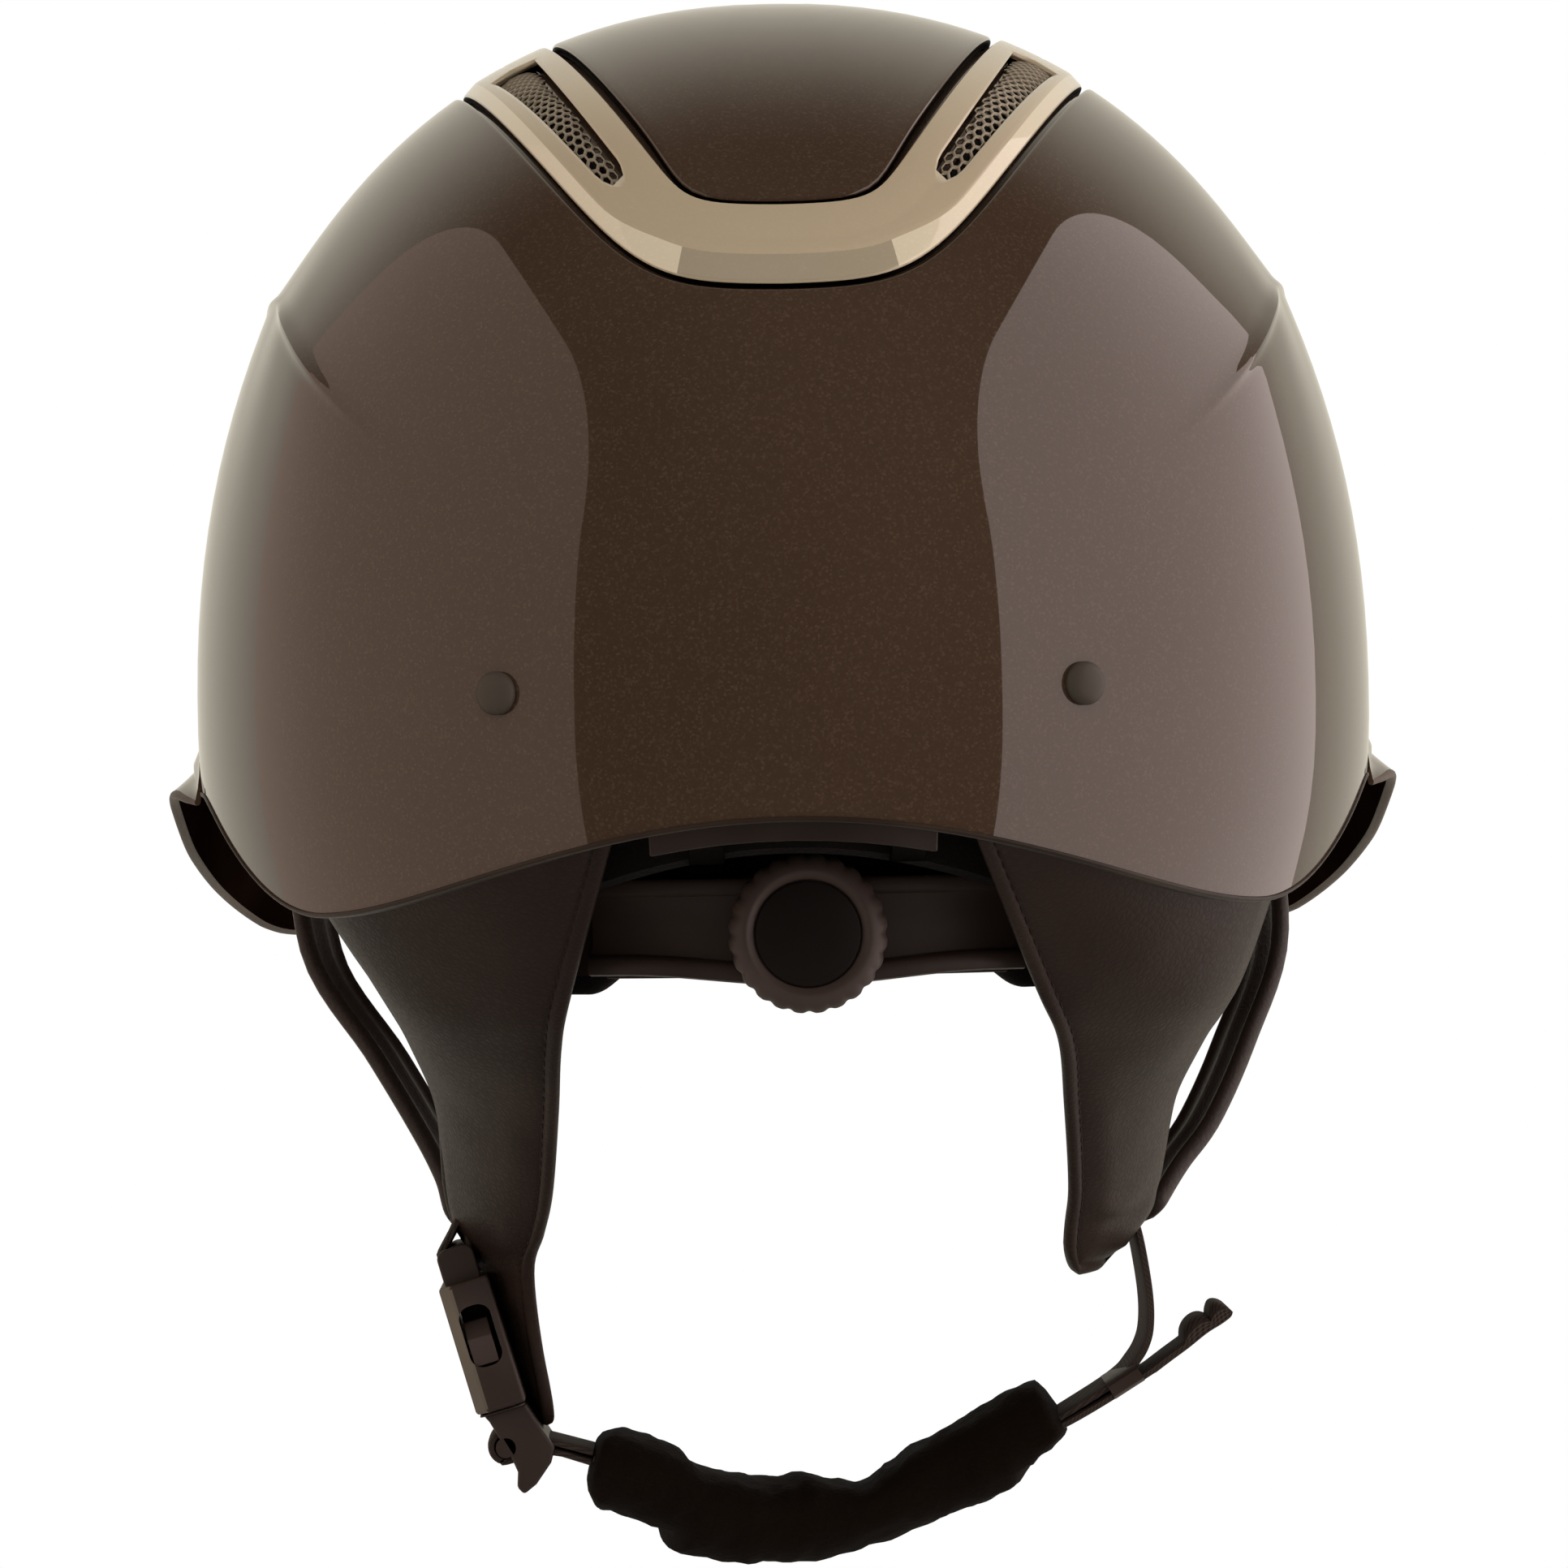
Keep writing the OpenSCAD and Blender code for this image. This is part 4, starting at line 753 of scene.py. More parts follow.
dress(shell, lacquer, "shell", "helmet", "outer_shell")

# %% [markdown]
# ## Crown panel and vent frame
# The panel is a domed plate in the middle of the bed, with a near-black wall that paints the shadow
# in the gap. It could be cut out of the shell, but as a piece of its own it keeps a true gap, which
# is wider along the arms.

# %% Crown panel
ARM_GAP, DOMED = 0.8, -0.2


def panel_edge(a, s):
    """A plan point s millimetres inside the panel's edge."""
    return in_plan(a, FRAME_W + GAP + s + ARM_GAP * (1 - ease((fold(a) - 68) / 12)))


rows = []
for s, d in ((0, 1.9), (0, 0.7), (0.02, 0.3), (0.15, 0.02), (0.45, -0.15), (0.9, DOMED),
             (1.8, DOMED)):
    rows.append([below(panel_edge(a, s), d) for a in ring[::2]])
for t in (0.985, 0.93, 0.85, 0.76, 0.66, 0.56, 0.46, 0.36, 0.26, 0.16, 0.07, 0):
    rows.append([over_plan(panel_edge(a, 1.8) * t, DOMED) for a in ring[::2]])
# The panel's side wall, its two lowest rows, is near-black: painted shadow in the gap.
crown = skin("crown_skin", rows, ring=True, zone=lambda r, c: int(r < 2))
solid(crown, 1.6)
dress(crown, [lacquer, black_plastic_and_gap_shade], "shell", "helmet", "crown_panel")

# %% [markdown]
# The frame is a flat metallic band with a facet along its outer edge, wide over the rear bar and
# narrow on the arms. A bevel has one width only, so the facet has its own rows.

# %% Vent frame
FACE, LIP = -0.5, -0.42
MIDDLE = FRAME_W / 2
FACET_ARM, FACET_BAR = 2.5, 5.3


def facet(a):
    """The facet's width."""
    return mix(FACET_ARM, FACET_BAR, ease((fold(a) - 72) / 8))


def frame_row(place, d):
    """A row of the frame at place(azimuth) millimetres inside its outer edge."""
    return [below(in_plan(a, place(a)), d) for a in ring]


def slot_side(a, edge):
    """The frame's face beside the slot, on its outer side at -1 and on its inner side at 1."""
    return MIDDLE + edge * (max(slot_half(a), 0.05) + 0.6)


rows = [frame_row(lambda a: s, d) for s, d in ((0, 1.9), (0, 1.0), (0.05, 0.6), (0.3, 0.35))]
rows += [frame_row(lambda a: 0.3 + facet(a) * t, mix(0.32, LIP, t)) for t in (0.1, 0.5, 0.93)]
rows += [frame_row(lambda a: mix(facet(a) + 0.7, slot_side(a, -1), t), FACE)
         for t in (0, 0.15, 0.5, 1)]
first = len(rows)
rows += [frame_row(lambda a: MIDDLE + edge * slot_half(a), LIP) for edge in (-1, 1)]
rows += [frame_row(lambda a: mix(slot_side(a, 1), FRAME_W - 0.9, t), FACE) for t in (0, 0.5, 1)]
rows += [frame_row(lambda a: FRAME_W - s, d)
         for s, d in ((0.35, LIP), (0.1, -0.15), (0, 0.3), (0, 1.9))]
last = len(rows) - 2


def metal_zone(r, c):
    """Painted shadow on the side walls, the face, painted highlight on arm facets, painted shade on
    the bar facet.
    """
    if r < 2 or r == last:
        return 1
    return (3 if fold(ring[c]) > 80 else 2) if 2 < r < 6 else 0


bezel = skin("vent_bezel", rows, ring=True, zone=metal_zone,
             hole=lambda r, c: r == first and slot_half(ring[c] + 0.5) > 0)
solid(bezel, 1.2)
dress(bezel, [champagne, black_plastic_and_gap_shade, champagne_painted_highlight, champagne_painted_shade], "frame", "helmet", "vent_frame")

# %% [markdown]
# Each slot holds a perforated plate. Alpha could fake the holes, but real ones catch the light on
# their walls. Six-sided circles are laid flat side by side and inset, the middles are taken out,
# and the flat grid is carried onto the dome.

# %% Vent grids
CELL, STRUT, SLOT_LONG = 1.0, 0.22, 46
RIM_LEFT, SUNK, HOLLOW = 0.5, 0.7, 0.05


def slot_azimuth(x):
    return mix(SLOT_FROM, SLOT_TO, x / SLOT_LONG)


def honeycomb(name, mirror, node):
    bm = bmesh.new()
    spin = Matrix.Rotation(math.pi / 6, 4, "Z")
    for row in range(-4, 5):
        for col in range(int(SLOT_LONG / (CELL * 1.5)) + 1):
            x = col * CELL * 1.5
            y = (row + (col % 2) / 2) * CELL * math.sqrt(3)
            half = slot_half(slot_azimuth(x))
            if half > 0 and abs(y) <= half - RIM_LEFT:
                bmesh.ops.create_circle(bm, cap_ends=True, segments=6, radius=CELL,
                                        matrix=Matrix.Translation((x, y, 0)) @ spin)
    bmesh.ops.remove_doubles(bm, verts=bm.verts, dist=0.02)
    bmesh.ops.inset_individual(bm, faces=bm.faces, thickness=STRUT)
    bmesh.ops.delete(bm, geom=[f for f in bm.faces if len(f.verts) == 6], context="FACES")
    for v in bm.verts:
        flat = in_plan(slot_azimuth(v.co.x), MIDDLE + v.co.y)
        p = over_plan(flat, SUNK + HOLLOW * v.co.y * v.co.y)
        v.co = Vector((p.x * mirror, p.y, p.z)) * MM
    bmesh.ops.recalc_face_normals(bm, faces=bm.faces)
    made = keep(name, bm)
    solid(made, 0.6)
    return dress(made, mesh_paint, "mesh", "helmet", node)


honeycomb("left_vent_grid", 1, "left_vent_mesh")
honeycomb("right_vent_grid", -1, "right_vent_mesh")

# %% [markdown]
# ## Rim trim
# A soft rubber bead grips the rim and hides its cut edge. A curve with a round bevel would sink
# into the shell, so the bead's section is drawn in the dome's own terms: how far up from the rim,
# and how deep under the skin.

# %% Rim trim
def rim_point(a, up, d):
    return dome(a, polar_of_drop(rim_drop(a) - up), d)


loop = [(-0.65, 3.4), (-0.75, 1.3), (-0.7, 0.1), (-0.55, -0.2), (-0.25, -0.4), (0.05, -0.35),
        (0.2, -0.1), (-0.15, -0.1), (-0.15, 2.9), (2.4, 2.9), (2.4, 3.6)]
rows = [[rim_point(a, up, d) for a in around(240)] for up, d in [*loop, loop[0]]]
trim = skin("rim_bead", rows, ring=True)
dress(trim, rubber, "trim", "helmet", "edge_trim")

# %% [markdown]
# ## Peak
# The wide brim reaches over the brow and runs back along both ears, where the photograph shows its
# ends hang like wings. A plane with a few loop cuts would do for a straight brim. This one drops
# by a different amount all along, so its edge is read from a table and the rest follows.

# %% Peak's edge
BRIM_FALLS = [(-5, 7.0), (0, 5.4), (4, 4.8), (7, 6.0), (10, 8.2), (20, 15.3), (30, 20.2),
              (40, 25.9), (50, 32.6), (60, 32.5), (75, 26), (90, 20)]
EDGE_DROP = 136
EDGE_GAP, EDGE_SIDE, EDGE_BROW = 0.3, 6.3, 56


def table(pairs, x):
    """The value at x of a list of pairs, on a straight line from each to the next."""
    for (x_1, y_1), (x_2, y_2) in zip(pairs, pairs[1:]):
        if x <= x_2:
            return mix(y_1, y_2, max(0, x - x_1) / (x_2 - x_1))
    return pairs[-1][1]


def brim_fall(s):
    """The drop of the peak's edge, smoothed over a few degrees and mirrored at the brow."""
    return sum(table(BRIM_FALLS, min(s + d, 180 - s - d)) for d in (-3, -1.5, 0, 1.5, 3)) / 5


def brim_edge(a):
    """A point on the peak's edge, which leaves the shell ahead of the ear."""
    s = -fold(a)
    grown = min(1, max(0.01, (s + 5) / 15))
    r = reach(a) + EDGE_GAP + EDGE_SIDE * (1 - (1 - grown) ** 2.2)
    r += EDGE_BROW * sind(max(0, s)) ** 3
    return Vector((r * cosd(a), r * sind(a), CROWN_TOP - EDGE_DROP - brim_fall(s)))


def brim_root(a):
    """The point where the peak's plate leaves the shell."""
    return rim_point(a, mix(1.2, 3.9, ease((2 - fold(a)) / 20)), -0.2 - ease((5 - fold(a)) / 10))


print("Peak's edge reaches y", round(brim_edge(-90).y), "mm over the brow")

# %% [markdown]
# The plate is drawn in two directions that turn with the brim: out to its edge, and up square to
# it. Solidify could thicken one sheet, but the lip is rounder than a wall and a little thicker, so
# the whole section is drawn.

# %% Peak's section
PLATE, ARCH = 0.7, 3.4
ways = [0.12, 0.25, 0.4, 0.55, 0.7, 0.85]
lip = [(-0.9, 0.7), (-0.5, 0.8), (0, 0.75), (0.4, 0.5), (0.55, 0.1), (0.4, -0.4), (0, -0.7),
       (-0.5, -0.8), (-0.9, -0.7)]


def brim_section(a):
    """The plate's section at an azimuth, out from the shell, round the lip and back."""
    root, edge = brim_root(a), brim_edge(a)
    out = (edge - root).normalized()
    up = (brim_root(a + 1) - brim_root(a - 1)).cross(out).normalized()
    up = up if up.z + (up.x * cosd(a) + up.y * sind(a)) > 0 else -up
    size = min(1, (edge - root).length / 5)
    front = max(0, -fold(a)) / 90

    def plate(w, d):
        """The point at w of the way to the edge, d above the middle of the arched plate."""
        arch = Vector((0, 0, ARCH * sind(180 * w) * front))
        return mix(root, edge, w) + arch + up * d * size

    return ([plate(w, PLATE) for w in ways] + [edge + (out * o + up * u) * size for o, u in lip]
            + [plate(w, -PLATE) for w in reversed(ways)])


# %% [markdown]
# A flange seats the peak on the shell. It and the plate's section make one ring, and the rings
# from ear to ear make the piece. The lip is painted paler than the lacquer as a highlight, and the
# underside is matt and painted dark as shade, so each face of a ring gets its own material.

# %% Peak
FLANGE, COLUMNS = 3, 190
rows = []
for k in range(COLUMNS + 1):
    a = mix(5, -185, k / COLUMNS)
    front = ease((2 - fold(a)) / 20)
    high, waist, low = mix(5.4, 11.4, front), mix(3.2, 6.6, front), mix(1.2, 3.9, front)
    stand = mix(0.15, 1, ease((5 - fold(a)) / 10))
    top = [rim_point(a, high, -0.9 * stand), rim_point(a, mix(waist, high, 0.4), -1.6 * stand),
           rim_point(a, waist, -2.2 * stand)]
    rows.append(top + brim_section(a) + [rim_point(a, low, -0.05), rim_point(a, high, -0.05)])
lip_from = FLANGE + len(ways)


def brim_zone(r, c):
    """Lacquer on top, the lip painted paler as a highlight, and the matt underside painted dark as
    shade.
    """
    if c < lip_from:
        return 0
    return 1 if c < lip_from + len(lip) - 1 else 2


brim_skin = skin("brim", rows, ring=True, caps=True, smooth=50, zone=brim_zone)
dress(brim_skin, [lacquer, peak_lip_painted_highlight, peak_underside_painted_shade], "shell", "helmet", "peak")

# %% [markdown]
# ## Inside
# Expanded foam fills the shell. Its CAD shape is right, with the openings under the vents, but for
# its facets. A copy has its loose triangles merged and, on smaller pieces, its knife edges
# rounded. Displacement could raise each bead, but bump shows them and costs no faces.

# %% Foam
def softened(name, node, bevel=0.0, smooth=35):
    """A copy of a CAD node with its facets joined and, if asked, its edges rounded."""
    bm = bmesh.new()
    bm.from_mesh(nodes[node].data)
    bmesh.ops.remove_doubles(bm, verts=bm.verts, dist=WELD)
    bmesh.ops.dissolve_limit(bm, angle_limit=math.radians(0.5), verts=bm.verts, edges=bm.edges)
    bmesh.ops.recalc_face_normals(bm, faces=bm.faces)
    made = keep(name, bm, smooth)
    return rounded(made, bevel) if bevel else made


foam = softened("foam_beads", "foam_liner", smooth=50)
dress(foam, beads, "foam", "helmet", "foam_liner")

# %% [markdown]
# The padding is a quilted band round the head and an open pad over it. Cloth simulation is the
# usual way to puff a pad, but these are thin and held flat, so a formula bulges them between their
# seams.

# %% Padding band
BAND_OUT, NAPE_HANG = 24.3, 54


def quilt(a, count):
    """Bulge between seams round the head."""
    return abs(math.sin(math.radians(a) * count / 2)) ** 0.45


rows = []
section = [(0.07, 0.4), (0.06, 3.2), (0.1, 5.6), (0.2, 6.4), (0.3, 6.6), (0.4, 6.4), (0.5, 5.6),
           (0.54, 3.2), (0.53, 0.4), (0.3, 0)]
for a in around(240):
    full = 0.45 + 0.55 * quilt(a, 16)
    nape = ease((fold(a) - 56) / 8) * 0.12
    polars = [row_polar(a, max(0, t - nape)) + NAPE_HANG * max(0, nape - t) for t, d in section]
    rows.append([dome(a, f, BAND_OUT + d * full) for f, (t, d) in zip(polars, section)])
band = skin("head_band_pad", [*rows, rows[0]], ring=True)
dress(band, knit, "padding", "helmet", "comfort_band")

# %% [markdown]
# The pad over the head has openings between its ribs, so faces are left out between two rows, and
# three piped rows stand prouder. Four dots of hook and loop hold it to the foam.

# %% Crown pad and its dots
def deep(p, d):
    """A plan point carried square to the dome to a deep inset."""
    a = math.degrees(math.atan2(p.y, p.x))
    return dome(a, polar_of_reach(a, p.length), d)


PAD_OUT, QUILT_HIGH = 25.5, 0.56
rows = []
piping = (1.05, 0.87, 0.7)
for t in (1.05, 1.03, 0.97, 0.9, 0.87, 0.83, 0.76, 0.7, 0.64, 0.56, 0.46, 0.36, 0.26, 0.14, 0):
    swell = 1.2 if t in piping else 0.2
    rows.append([deep(in_plan(a, FRAME_W) * t, PAD_OUT + QUILT_HIGH * quilt(a, 10) + swell)
                 for a in around(180)])
pad = skin("crown_pad_skin", rows, ring=True, hole=lambda r, c: 4 <= r < 7 and c % 18 > 11)
solid(pad, 4.2, bevel=0.9)
dress(pad, knit, "padding", "helmet", "crown_pad")
dots = softened("grip_dots", "hook_and_loop_dots", 0.15)
dress(dots, fleece, "fleece", "helmet", "hook_and_loop_dots")

# %% [markdown]
# ## Rivets
# A domed head sits in the shell behind each ear. A sphere cut in half would be too round, so a
# profile is turned about the shell's own normal. The azimuth is found in a few steps, so that the
# head stands 49 mm off the middle as in the photograph.

# %% Rivets
RIVET_DROP, RIVET_X, DEGREES_PER_REACH = 125, 49, 57


def turned(name, profile, where, sides=72):
    """A round piece about its own Z. The profile is (radius, height), from its foot to its top."""
    turns = [2 * math.pi * k / sides for k in range(sides)]
    rows = [[where @ Vector((r * math.cos(a), r * math.sin(a), z)) for a in turns]
            for r, z in profile]
    return skin(name, rows, ring=True, caps=True)


rivet_f = polar_of_drop(RIVET_DROP)
rivet_a = 68
for _ in range(8):
    rivet_a += (dome(rivet_a, rivet_f).x - RIVET_X) / REAR * DEGREES_PER_REACH
u = dome(rivet_a + 1, rivet_f) - dome(rivet_a - 1, rivet_f)
v = dome(rivet_a, rivet_f - 1) - dome(rivet_a, rivet_f + 1)
rivet_n = u.cross(v).normalized()
rivet_p = dome(rivet_a, rivet_f)
head = [(2, -3.9), (2, 0.25), (3.5, 0.3), (3.68, 0.45), (3.68, 0.9), (3.5, 1.25), (3.0, 1.75),
        (2.2, 2.15), (1.2, 2.4), (0, 2.5)]
for name, flip in (("left_rivet", 1), ("right_rivet", -1)):
    p, n = (Vector((way.x * flip, way.y, way.z)) for way in (rivet_p, rivet_n))
    spot = Matrix.Translation(p) @ n.to_track_quat("Z", "Y").to_matrix().to_4x4()
    dress(turned(name, head, spot), rivet_paint, "rivet", "helmet")
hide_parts("harness_rivets")
for node, name, stuff, slot in (("rivet_washers", "rivet_washer_rings", steel, "steel"),
                                ("front_anchor_studs", "temple_studs", rivet_paint, "rivet")):
    dress(softened(name, node, 0.15), stuff, slot, "helmet", node)

# %% [markdown]
# ## Ear flaps
# Each flap is padded leather with a turned edge, a groove along it and stitches in the groove. It
# could be sculpted, but its outline was measured at a few heights, so smooth lines run through
# those stations. Each station is a drop, the front edge's x and y, the rear edge's x and y, and a
# bulge.

# %% Flap outlines
left_stations = [(176, 72, 44, 37.9, 90, 9), (186, 67, 30, 40.1, 77, 7),
                 (198, 63, 15, 41.2, 60, 5), (213, 62.5, 0, 42.9, 40, 3),
                 (221, 60.6, -6, 44.9, 29, 2), (228, 54.9, -10, 47.2, 20, 1.5),
                 (243, 51.4, -13, 46.2, 9, 0.5), (257, 48.6, -14, 43.6, 5, 0)]
right_stations = [(176, 79.3, 44, 41.2, 90, 9), (186, 73.3, 30, 45.7, 77, 7),
                  (198, 68.1, 15, 47.5, 60, 5), (213, 66.5, 0, 49, 40, 3),
                  (221, 63.5, -6, 48.8, 28.5, 2), (230.5, 55.5, -11, 48.6, 17, 1.5)]


def flap_column(stations, u):
    """The flap's line from its tip to the shell, at u of the way from front edge to rear edge."""
    line = []
    for drop, fx, fy, rx, ry, bulge in reversed(stations):
        p, q = Vector((fx, fy, CROWN_TOP - drop)), Vector((rx, ry, CROWN_TOP - drop))
        n = Vector((q.y - p.y, p.x - q.x, 0)).normalized()
        line.append(mix(p, q, u) + n * bulge * sind(180 * u))
    a = mix(30, 76, u)
    return [*line, dome(a, row_polar(a, 0.08) + 0.6, 9)]


# %% [markdown]
# The stations become a smooth line when each stretch looks at its neighbours. A curve object could
# do it too, but the flap and the straps need the points of the line as numbers.

# %% Smooth lines
def at(points, t):
    """The point at t on a smooth line through points, where the first is at 0."""
    k = min(int(t), len(points) - 2)
    t -= k
    b, c = points[k], points[k + 1]
    a = points[k - 1] if k else b * 2 - c
    d = points[k + 2] if k + 2 < len(points) else c * 2 - b
    return 0.5 * (2 * b + (c - a) * t + (2 * a - 5 * b + 4 * c - d) * t * t
                  + (3 * b - a - 3 * c + d) * t * t * t)


def path(points, parts=6):
    """A finer path along the same smooth line."""
    points = [Vector(p) for p in points]
    return [at(points, k / parts) for k in range((len(points) - 1) * parts + 1)]


# %% [markdown]
# The thickness depends only on how far a point is from the edge: a round turned edge, the groove
# at 3.1 mm and then the swell of the padding. So points crowd together near the edges and the tip.

# %% Flap thickness
NEAR = [0, 0.25, 0.7, 1.3, 2.1, 2.7, 3.1, 3.5, 4.2, 5.6, 7.6]
TALL = [0, 0.25, 0.7, 1.3, 2.1, 3, 4.2, 5.6, 7.5, 10]
STEPS, ACROSS, ROWS_UP = 8, 24, 44
TIP_ROUND, TIP_END = 9, 8
EDGE_R, EDGE_T = 1.3, 1.25
GROOVE_AT, GROOVE_DEEP, GROOVE_WIDE = 3.1, 0.5, 0.6


def half_thick(edge):
    """Half the leather's thickness at a distance from its edge."""
    near = min(1, edge / EDGE_R)
    turned_edge = EDGE_T * math.sqrt(near * (2 - near))
    groove = GROOVE_DEEP * math.exp(-((edge - GROOVE_AT) / GROOVE_WIDE) ** 2)
    return turned_edge - groove + ease((edge - 3.6) / 5)


def flap_row(cross, end):
    """Points across the flap, end millimetres from its tip, and half its thickness at each."""
    width = (cross[-1] - cross[0]).length
    pinch = 1 if end > TIP_ROUND else mix(0.45, 1, math.sqrt(1 - (1 - end / TIP_ROUND) ** 2))
    places = NEAR + [mix(NEAR[-1], width - NEAR[-1], k / STEPS) for k in range(1, STEPS)]
    places += [width - d for d in reversed(NEAR)]
    row, thick = [], []
    for d in places:
        u = 0.5 + (d / width - 0.5) * pinch
        row.append(at(cross, max(0, min(ACROSS - 0.001, u * ACROSS))))
        edge = min(d, width - d) * pinch
        thick.append(half_thick(min(edge, end + 0.02) if end < TIP_END else edge))
    return row, thick


def square_to(grid):
    """The direction square to a surface at each point of its rows."""
    normals = []
    for r, row in enumerate(grid):
        higher, lower = grid[min(r + 1, len(grid) - 1)], grid[max(r - 1, 0)]
        normals.append([(row[min(c + 1, len(row) - 1)] - row[max(c - 1, 0)])
                        .cross(higher[c] - lower[c]).normalized() for c in range(len(row))])
    return normals


print("Leather is", round(2 * half_thick(20), 1), "mm thick in the middle of a flap")

# %% [markdown]
# Stitches are short threads laid end to end in the groove. Small round threads in one mesh are
# cheaper than an array of objects, and they bend with the line.

# %% Stitches
PITCH, THREAD_LONG, THREAD_THICK = 2.9, 2.1, 0.5


def stitches(name, line):
    bm = bmesh.new()
    size = Matrix.Diagonal((THREAD_LONG / 2, THREAD_THICK / 2, THREAD_THICK / 2, 1))
    spare = 0.0
    for a, b in zip(line, line[1:]):
        gap = (b - a).length
        while spare < gap:
            way = (b - a).normalized()
            spin = way.to_track_quat("X", "Z").to_matrix().to_4x4()
            spot = Matrix.Translation((a + way * spare) * MM)
            bmesh.ops.create_icosphere(bm, subdivisions=2, radius=MM, matrix=spot @ spin @ size)
            spare += PITCH
        spare -= gap
    return dress(keep(name, bm), thread, "leather", "helmet")


# %% [markdown]
# Front and back are two skins, half a thickness to each side of the stations, joined in one ring.
# Noise adds soft folds across the narrow part. It is the same noise in every run, so the leather
# is always the same.

# %% Ear flaps
STATION = 12.5
FOLD_AT, FOLD_WIDE, FOLD_HIGH = 0.24, 0.1, 0.55
STITCHES_FROM = 0.07


def flap(name, stations, mirror, node):
    length = STATION * len(stations)
    heights = [d / length for d in TALL]
    heights += [mix(TALL[-1] / length, 1, k / ROWS_UP) for k in range(1, ROWS_UP + 1)]
    coarse = [flap_column(stations, k / ACROSS) for k in range(ACROSS + 1)]
    fine = [[at(line, h * (len(line) - 1)) for h in heights] for line in coarse]
    grid = [flap_row([line[r] for line in fine], h * length) for r, h in enumerate(heights)]
    flip = Vector((mirror, 1, 1))
    front, rows = [], []
    for (row, thick), line, h in zip(grid, square_to([row for row, thick in grid]), heights):
        folds = math.exp(-((h - FOLD_AT) / FOLD_WIDE) ** 2)
        out, away = [], []
        for p, t, n in zip(row, thick, line):
            crush = noise.noise(Vector((p.x * 0.05, p.y * 0.05, p.z * 0.28)))
            wave = 0.5 * noise.noise(p * 0.07) + FOLD_HIGH * folds * crush
            out.append((p + n * (t + wave * ease(t - 1.2) * 1.4)) * flip)
            away.append((p - n * t * 0.9) * flip)
        front.append(out)
        rows.append(out + away[::-1])
    made = skin(name, rows, ring=True, caps=True, smooth=60)
    dress(made, leather, "leather", "helmet", node)
    for label, c in (("front", 6), ("rear", len(NEAR) + STEPS - 1 + 4)):
        line = [out[c] for out, h in zip(front, heights) if h > STITCHES_FROM]
        stitches(name + "_" + label + "_stitches", line)


flap("left_flap", left_stations, 1, "left_ear_flap")
flap("right_flap", right_stations, -1, "right_ear_flap")

# %% [markdown]
# ## Front straps
# Straps and webbing are one closed section that runs along a smooth line. A curve object with a
# bevel could do that, but it can't change its section on the way or lay the UV map in millimetres.

# %% Swept strips
def sweep(name, line, hint, section, smooth=40):
    """Carries a closed section along a line. section(t) gives (across, up) points, t to 1."""
    last = len(line) - 1
    rows = []
    for k, p in enumerate(line):
        along = (line[min(k + 1, last)] - line[max(k - 1, 0)]).normalized()
        lean = Vector(hint)
        across = (lean - along * lean.dot(along)).normalized()
        up = across.cross(along)
        rows.append([p + across * u + up * v for u, v in section(k / last)])
    run = sum((b - a).length for a, b in zip(line, line[1:]))
    round_it = sum((b - a).length for a, b in zip(rows[last // 2], rows[last // 2][1:]))
    return skin(name, rows, ring=True, size=(round_it, run), caps=True, smooth=smooth)


# %% [markdown]
# A rolled leather strap runs from each temple to its flap, with a piped bead along both edges and
# one down the middle. Its section fades at its end, where it goes under the flap.

# %% Front straps
left_points = [(82, -51.9, 131.2), (88, -44, 150), (85.8, -34, 172), (74.2, -26.2, 190),
               (65.8, -20, 204), (61.8, -16.8, 212), (60, -14.4, 218), (58.6, -12, 223)]
right_points = [(82, -51.9, 131.2), (88.5, -44, 150), (89.7, -34, 172), (83, -26.2, 190),
                (76, -20, 204), (69.8, -16.8, 212), (65.8, -14.4, 218), (62.8, -12, 223)]
PIPE_R, PIPE_HIGH, RIDGE_HIGH, RIDGE_WIDE = 1.5, 1.7, 0.7, 2.2


def piped(width, thick):
    """A strap's section with a bead along both edges and a raised middle."""
    w = width / 2

    def half(x):
        bead = max(0, 1 - ((abs(x) - (w - PIPE_R)) / PIPE_R) ** 2) ** 0.5 * PIPE_HIGH
        middle = RIDGE_HIGH * math.exp(-(x / RIDGE_WIDE) ** 2)
        return max(bead, thick / 2 - 0.3 + middle if abs(x) < w - 1.4 else bead)

    half_way = (0.15, 0.3, 0.5, 0.66, 0.71, 0.78, 0.86, 0.94, 0.985, 1)
    top = [(w * x, half(w * x)) for x in (*[-x for x in half_way[::-1]], 0, *half_way)]
    both = top + [(x, -h) for x, h in reversed(top)]

    def section(t):
        last = max(0, (t - 0.9) / 0.1)
        fade = mix(0.25, 1, math.sqrt(max(0, 1 - last * last)))
        return [(x * fade, h * fade) for x, h in both]

    return section


for flip, points, name in ((1, left_points, "left_front_strap"),
                           (-1, right_points, "right_front_strap")):
    line = [Vector((x * flip, y, CROWN_TOP - drop)) for x, y, drop in points]
    strap = sweep(name + "_leather", path(line), (0.24 * flip, 1, 0), piped(18, 2.6), smooth=60)
    dress(strap, strap_leather, "leather", "helmet", name)

# %% [markdown]
# ## Buckle
# The side release buckle hangs at the wearer's left and is seen edge on. Its parts are outlines
# drawn out straight, so one face is extruded for each, and a Boolean cuts the hollow and the
# windows. All of it is drawn in the buckle's own frame, with w up along the buckle.

# %% Outlines and prisms
buckle = Matrix.Translation((59.8, -3, CROWN_TOP - 230)) @ Matrix.Rotation(math.radians(16), 4, "Y")


